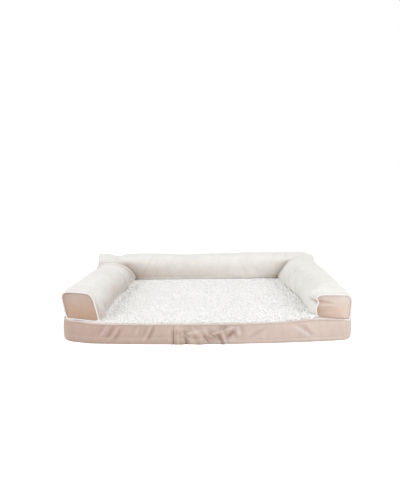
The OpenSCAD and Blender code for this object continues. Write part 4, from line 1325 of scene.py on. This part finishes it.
def closed_slab(form, name, x, y, top, low, finish_name):
    """A closed slab on a grid, with its top at top and its underside at low."""
    columns, rows = x.shape
    count = columns * rows
    points = np.vstack([np.stack([x, y, z + 0 * x], 2).reshape(-1, 3) for z in (top, low)])
    faces = [(i * rows + j, (i + 1) * rows + j, (i + 1) * rows + j + 1, i * rows + j + 1)
             for i in range(columns - 1) for j in range(rows - 1)]
    faces += [(d + count, c + count, b + count, a + count) for a, b, c, d in faces]
    rim = [i * rows for i in range(columns)] + [(columns - 1) * rows + j for j in range(1, rows)] \
        + [i * rows + rows - 1 for i in range(columns - 2, -1, -1)] + list(range(rows - 2, 0, -1))
    faces += [(rim[k - 1], rim[k - 1] + count, rim[k] + count, rim[k]) for k in range(len(rim))]
    piece = new_object(name, form.as_it_lies(points), faces)
    turn_out(piece)
    smooth(piece, finish_name)
    return piece


def edge_distance(form, x, y, d):
    """How far a point of the slab lies inside its outline drawn in by d."""
    side = form.half_w - d - np.abs(x)
    return np.minimum(side, np.minimum(y - form.front_y(x, d), form.back_y(x, d) - y))


def staggered(x0, x1, y0, y1, gap):
    """Rows of x for each y, every other row moved by half a gap."""
    for row, y in enumerate(np.arange(y0, y1, gap * 0.87)):
        yield np.arange(x0, x1, gap) + (row % 2) * gap / 2, y


def pile_height(form, x, y):
    """Height of the plush ground: its crown, and rows of tufts in slow waves."""
    pitch = form.pad.tuft_pitch
    sway = 0.012 * np.sin(x / 0.085 + 1.3 * np.sin(y / 0.11)) + 0.004 * np.sin(x / 0.021 + y / 0.03)
    row = np.abs(np.sin(math.pi * (y + sway) / pitch)) ** 0.8
    across = 0.6 + 0.4 * np.cos(2 * math.pi * x / pitch + math.pi * np.floor((y + sway) / pitch))
    return form.pad.crown + form.pad.tuft_height * row * across


def fringe_points(form, rng, side, rows, step):
    """Feet of the locks that stand against an arm, in slanting rows out to where it swells."""
    points = []
    for s in np.arange(0.0, 0.97, step):
        foot = form.arm_ring(s, np.array([math.pi]), 0, 1, side)[0]
        for row in rows:
            x = foot[0] - (row + rng.uniform(-2, 2)) * MM
            y = foot[1] + (rng.uniform(-2, 2) - 0.5 * row) * MM
            points.append((side * x, y, form.pad.deck + (3.5 - 0.15 * row) * MM))
    return points


def make_pile(form, name, seeds, long, wide, curl, seed):
    """Locks of pile on the seeds, so many times as long as the pile and as wide as its gap."""
    piece = new_object(name, form.as_it_lies(seeds))
    return grow(piece, "Pile Locks", "Sherpa plush", Pile=form.pad.pile * long,
                Width=form.pad.pile_gap * wide, Curl=curl, Seed=seed)


def make_plush(form):
    """The quilted plush panel: its ground, and the curly locks that stand on it."""
    edge = 7.6 * MM
    x, y = slab(form, edge, 7 * MM, 118)

    def sunk(inside):
        return 3.2 * MM * (1 - ease(inside / (9 * MM)))

    at = np.stack([x * 0.7, y, np.ones_like(x)], 2).reshape(-1, 3)
    wrinkle = fbm_sum(at, (1.4, 1, 0.05, 51)).reshape(x.shape)
    height = (pile_height(form, x, y) + wrinkle) * form.well(x, y)
    top = form.pad.deck + height - sunk(edge_distance(form, x, y, edge))
    ground = closed_slab(form, "plush_panel", x, y, top, form.pad.deck - 8.6 * MM, "Sherpa plush")
    mark(ground.data, "depth", np.ones(len(ground.data.vertices)))

    rng = np.random.default_rng(17)
    gap, arm_front = form.pad.pile_gap, form.arm_front
    seeds = []
    for line, at in staggered(-form.half_w, form.half_w, -form.half_d, form.back_mid, gap):
        px = line + rng.uniform(-0.32, 0.32, len(line)) * gap
        py = at + rng.uniform(-0.32, 0.32, len(line)) * gap
        open_here = form.well(px, py, 7 * MM)
        between = form.half_w - form.bolster.arm_width - 22 * MM > np.abs(px)
        keep = (open_here > 0.004) | ((py < arm_front + 30 * MM) & between)
        keep &= (py > form.front_y(px, 8.5 * MM)) & (between | (py > arm_front + 15 * MM))
        pz = form.pad.deck + pile_height(form, px, py) * open_here \
            - sunk(py - form.front_y(px, edge))
        seeds += list(zip(px[keep], py[keep], pz[keep]))
    seeds += fringe_points(form, rng, -1, (-3, 3, 9), 0.011)
    seeds += fringe_points(form, rng, 1, (-3, 3, 9, 15, 21), 0.011)
    feet = np.array(seeds) - np.array([0, 0, 3.4 * MM])
    pile = make_pile(form, "pile_seeds", feet, 1, 1.7, 1.25, 5)
    # longer locks stand in tufts beside the right arm
    tufts = fringe_points(form, rng, 1, (0, 5, 10, 15, 20), 0.02)
    join(ground, pile, make_pile(form, "fringe_seeds", tufts, 1.3, 1.3, 1.0, 9))
    ground.data.materials.clear()
    ground.data.materials.append(bpy.data.materials["Sherpa plush"])
    dress(ground, "plush", "sleep_panel")


def make_foam(form):
    """The foam slab, with its bumpy cut top."""
    d = 13.5 * MM
    pitch = 66 * MM
    x, y = slab(form, d, 14 * MM, 60)
    across, deep = 2 * (form.half_w - d), 2 * (form.half_d - d)
    wave = np.cos(2 * math.pi * round(across / pitch) * x / across) \
        * np.cos(2 * math.pi * round(deep / pitch) * y / deep)
    base = 2.2 * MM
    top = base + 57.2 * MM - 16 * MM * (1 - wave) / 2
    piece = closed_slab(form, "foam_slab", x, y, top, base, "Open-cell foam")
    dress(piece, "foam", "foam_core")


def make_underside(form):
    """The non-slip sheet under the pad, with its printed grip dots."""
    d = 5 * MM
    x, y = slab(form, d, 24 * MM, 34)
    sheet = closed_slab(form, "bottom_sheet", x, y, 1.5 * MM, 0.5 * MM, "Woven non-slip sheet")
    shade_faces(sheet, rounded=False)
    spots = []
    for line, at in staggered(-form.half_w + 20 * MM, form.half_w - 18 * MM, -form.half_d + 18 * MM,
                              form.half_d - 16 * MM, 20 * MM):
        inside = edge_distance(form, line, np.full_like(line, at), d) > 9 * MM
        spots += [(x, at, 0.3 * MM) for x in line[inside]]
    dots = new_object("grip_dots", form.as_it_lies(spots))
    grow(dots, "Grip Dots", "Grip rubber", Radius=3.2 * MM, Height=0.6 * MM)
    dress(sheet, "bottom_sheet", "bottom_panel")
    dress(dots, "bottom_sheet")


# The zip

def make_zip(form):
    """The two tapes with their coils, and the finish of the metal parts, whose CAD form stays."""
    for word, way in (("upper", 1), ("lower", -1)):
        low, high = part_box(f"zip_{word}_tape")
        xs, zs = np.linspace(low.x, high.x, 220), np.linspace(low.z, high.z, 9)
        points = [(x, form.back_face - 2.1 * MM + 0.12 * MM * math.sin(x / (11 * MM) + 40 * z), z)
                  for x in xs for z in zs]
        tape = new_object(f"zip_{word}_tape_cloth", points, strip(0, len(xs), len(zs), False))
        smooth(tape, "Woven zip tape")
        make_sheet(tape, 0.7 * MM, "zip_tape", f"zip_{word}_tape", high.x - low.x)
        low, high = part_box(f"zip_{word}_coil")
        mid = (low + high) / 2
        ends = (low.x + 1 * MM, high.x - 1 * MM)
        teeth = line_piece(f"zip_{word}_teeth", [(x, mid.y, mid.z) for x in ends])
        grow(teeth, "Zip Teeth", "Moulded nylon", Pitch=form.zip.tooth_pitch, Reach=high.z - low.z,
             Thickness=high.y - low.y)
        back = [(x, mid.y - 0.2 * MM, mid.z + way * 0.6 * MM) for x in ends]
        core = cord(f"zip_{word}_core", back, 0.5 * MM, "Moulded nylon", closed=False, sides=8)
        join(teeth, core)
        dress(teeth, "zip_coil", f"zip_{word}_coil")
    for node in ("zip_left_stop", "zip_right_stop", "zip_slider", "zip_pull"):
        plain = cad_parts[node].data.materials
        plain.clear()
        plain.append(bpy.data.materials["Tumbled zinc"])


# The stage

def make_camera(scene):
    """The photograph's camera: its place and turn, and a lens for a frame of 400 by 489."""
    turn, down, roll = math.radians(0.488), math.radians(9.389), math.radians(-0.752)
    focal_pixels, frame_pixels = 583.0, 489
    right = Vector((math.cos(turn), math.sin(turn), 0))
    ahead = Vector((-math.sin(turn), math.cos(turn), 0))
    look = ahead * math.cos(down) - Vector((0, 0, math.sin(down)))
    up = ahead * math.sin(down) + Vector((0, 0, math.cos(down)))
    side = right * math.cos(roll) + up * math.sin(roll)
    top = -right * math.sin(roll) + up * math.cos(roll)
    data = bpy.data.cameras.new("Camera")
    data.sensor_fit, data.sensor_height = "VERTICAL", 36
    data.lens = focal_pixels / frame_pixels * 36
    scene.camera = linked("Camera", data)
    turned = Matrix((side, top, -look)).transposed().to_4x4()
    scene.camera.matrix_world = Matrix.Translation((-0.0051, -2.3326, 0.6635)) @ turned


def seen_plainly(tree):
    """1 on the rays that show a backdrop in the picture, in a mirror or through glass, else 0."""
    rays = add(tree, "ShaderNodeLightPath").node.outputs
    seen = add(tree, "larger", rays["Is Camera Ray"], rays["Is Glossy Ray"])
    return add(tree, "larger", seen, rays["Is Transmission Ray"])


def pale_ground(name, base, glow):
    """Matt seamless paper, white in the frame, that still takes a soft shadow."""
    tree = new_tree(bpy.data.materials.new(name))
    matt = add(tree, "ShaderNodeBsdfDiffuse", {"Color": base, "Roughness": 0.5})
    light = add(tree, "ShaderNodeEmission", {"Color": WHITE, "Strength": glow})
    both = add(tree, "ShaderNodeAddShader", {0: matt, 1: light})
    mix = add(tree, "blend", seen_plainly(tree), matt, both)
    add(tree, "ShaderNodeOutputMaterial", {"Surface": mix})


def make_stage(scene):
    """A pale seamless floor, a soft world and two large lamps."""
    under = -0.2 * MM
    floor = new_object("floor", [(-9, -7, under), (9, -7, under), (9, 12, under), (-9, 12, under)],
                       [(0, 1, 2, 3)])
    pale_ground("Seamless paper", linear("#f4f4f4"), 0.4)
    floor.data.materials.append(bpy.data.materials["Seamless paper"])
    scene.world = bpy.data.worlds.new("Soft room")
    tree = new_tree(scene.world)
    soft = add(tree, "shine", linear("#f7f7f8"), 0.85)
    mix = add(tree, "blend", seen_plainly(tree), soft, add(tree, "shine", WHITE, 1.0))
    add(tree, "ShaderNodeOutputWorld", {"Surface": mix})
    middle = Vector((0, 0, 0.08))
    for name, at, size, power in (("Key", (1.8, -1.9, 1.7), 1.5, 24),
                                  ("Fill", (-2.2, -1.2, 1.9), 1.6, 20)):
        lamp = bpy.data.lights.new(name, "AREA")
        lamp.shape, lamp.size, lamp.energy = "SQUARE", size, power
        holder = linked(name, lamp)
        holder.location = at
        holder.rotation_euler = (middle - Vector(at)).to_track_quat("-Z", "Y").to_euler()
    scene.view_settings.view_transform = "Standard"


# Operators

class BED_OT_stage(bpy.types.Operator):
    """Sets up the camera, the floor and the lights"""
    bl_idname = "pet_bed.stage"
    bl_label = "Stage"

    def execute(self, context):
        make_camera(context.scene)
        make_stage(context.scene)
        return {"FINISHED"}


class BED_OT_finishes(bpy.types.Operator):
    """Makes the fabrics, foam, plastic and metal, and the node groups of what repeats"""
    bl_idname = "pet_bed.finishes"
    bl_label = "Finishes"

    def execute(self, context):
        look = context.scene.bed_finishes
        # The suedes' casts are painted light and shade. The taupe is darker at the left and lighter
        # at the right, warmer low on the bolsters and cooler at their top. The ivory is shaded low
        # on the left arm. The last value sets how dark the painted shade in fold valleys is.
        brushed_suede(BANDS_FINISH, look.taupe, ((0.87, 0.82, 0.8, 1), (1.1, 1.15, 1.18, 1)),
                      ((1.02, 0.93, 0.83, 1), (1.02, 0.95, 0.88, 1)), (0.98, 1.03, 1.07, 1), 0.5)
        brushed_suede(COVERS_FINISH, look.ivory, (WHITE, (1, 1, 0.985, 1)),
                      ((0.74, 0.67, 0.65, 1), (1.01, 1.02, 1.03, 1)), WHITE, 0.4)
        sherpa_plush("Sherpa plush", look.plush)
        twill_piping("Twill piping", look.piping)
        twill_piping("Twill rim piping", look.rim)
        spun_thread("Spun thread", look.thread)
        open_cell_foam("Open-cell foam", look.foam)
        loose_fibre("Loose fibre", look.fill)
        plain_weave("Woven non-slip sheet", look.sheet, 2.4 * MM, 0.8)
        plain_weave("Woven zip tape", look.tape, 0.9 * MM)
        grip_rubber("Grip rubber", shade(look.sheet, 0.6))
        moulded_nylon("Moulded nylon", shade(look.tape, 1.15))
        tumbled_zinc("Tumbled zinc", look.metal)
        for build in (tube_group, stitch_group, tooth_group, dot_group, lock_group):
            build()
        return {"FINISHED"}


class BED_OT_foam(bpy.types.Operator):
    """Makes the foam slab and the stuffing of the bolsters"""
    bl_idname = "pet_bed.foam"
    bl_label = "Foam and stuffing"

    def execute(self, context):
        make_foam(Form(context.scene))
        make_fills(Form(context.scene))
        return {"FINISHED"}


class BED_OT_underside(bpy.types.Operator):
    """Makes the non-slip sheet with its grip dots"""
    bl_idname = "pet_bed.underside"
    bl_label = "Underside"

    def execute(self, context):
        make_underside(Form(context.scene))
        return {"FINISHED"}


class BED_OT_plush(bpy.types.Operator):
    """Makes the tufted plush panel"""
    bl_idname = "pet_bed.plush"
    bl_label = "Plush"

    def execute(self, context):
        make_plush(Form(context.scene))
        return {"FINISHED"}


class BED_OT_bands(bpy.types.Operator):
    """Makes the bands round the pad and the piping on them"""
    bl_idname = "pet_bed.bands"
    bl_label = "Bands and piping"

    def execute(self, context):
        make_bands(Form(context.scene))
        make_top_piping(Form(context.scene))
        return {"FINISHED"}


class BED_OT_arms(bpy.types.Operator):
    """Makes the two stuffed arms with their end panels"""
    bl_idname = "pet_bed.arms"
    bl_label = "Arms"

    def execute(self, context):
        for side in (-1, 1):
            make_arm(Form(context.scene), side)
        return {"FINISHED"}


class BED_OT_back(bpy.types.Operator):
    """Makes the stuffed back bolster and its seams with the arms"""
    bl_idname = "pet_bed.back"
    bl_label = "Back bolster"

    def execute(self, context):
        make_back(Form(context.scene))
        make_junction_seams(Form(context.scene))
        return {"FINISHED"}


class BED_OT_zip(bpy.types.Operator):
    """Makes the zip's tapes and teeth and finishes its metal parts"""
    bl_idname = "pet_bed.zip"
    bl_label = "Zip"

    def execute(self, context):
        make_zip(Form(context.scene))
        return {"FINISHED"}


OPERATORS = (BED_OT_stage, BED_OT_finishes, BED_OT_foam, BED_OT_underside, BED_OT_plush,
             BED_OT_bands, BED_OT_arms, BED_OT_back, BED_OT_zip)
SETTINGS = {"bed_pad": PadSizes, "bed_bolster": BolsterSizes, "bed_zip": ZipSizes,
            "bed_finishes": Finishes}


class BED_PT_panel(bpy.types.Panel):
    """Lists the bed's sizes, colours and steps"""
    bl_label = "Pet Bed"
    bl_idname = "BED_PT_panel"
    bl_space_type = "VIEW_3D"
    bl_region_type = "UI"
    bl_category = "Pet Bed"

    def draw(self, context):
        for name in SETTINGS:
            group = getattr(context.scene, name)
            column = self.layout.column(align=True)
            column.label(text=name.replace("bed_", "").title())
            for key in group.__annotations__:
                column.prop(group, key)
        for operator in OPERATORS:
            self.layout.operator(operator.bl_idname)


CLASSES = (*SETTINGS.values(), *OPERATORS, BED_PT_panel)


def register():
    for kind in CLASSES:
        bpy.utils.register_class(kind)
    for name, kind in SETTINGS.items():
        setattr(bpy.types.Scene, name, PointerProperty(type=kind))


def unregister():
    for name in SETTINGS:
        delattr(bpy.types.Scene, name)
    for kind in reversed(CLASSES):
        bpy.utils.unregister_class(kind)


def main():
    register()
    steps = bpy.ops.pet_bed
    for make in (steps.stage, steps.finishes, steps.foam, steps.underside, steps.plush, steps.bands,
                 steps.arms, steps.back, steps.zip):
        make()
    bpy.context.view_layer.update()


if __name__ == "__main__":
    main()
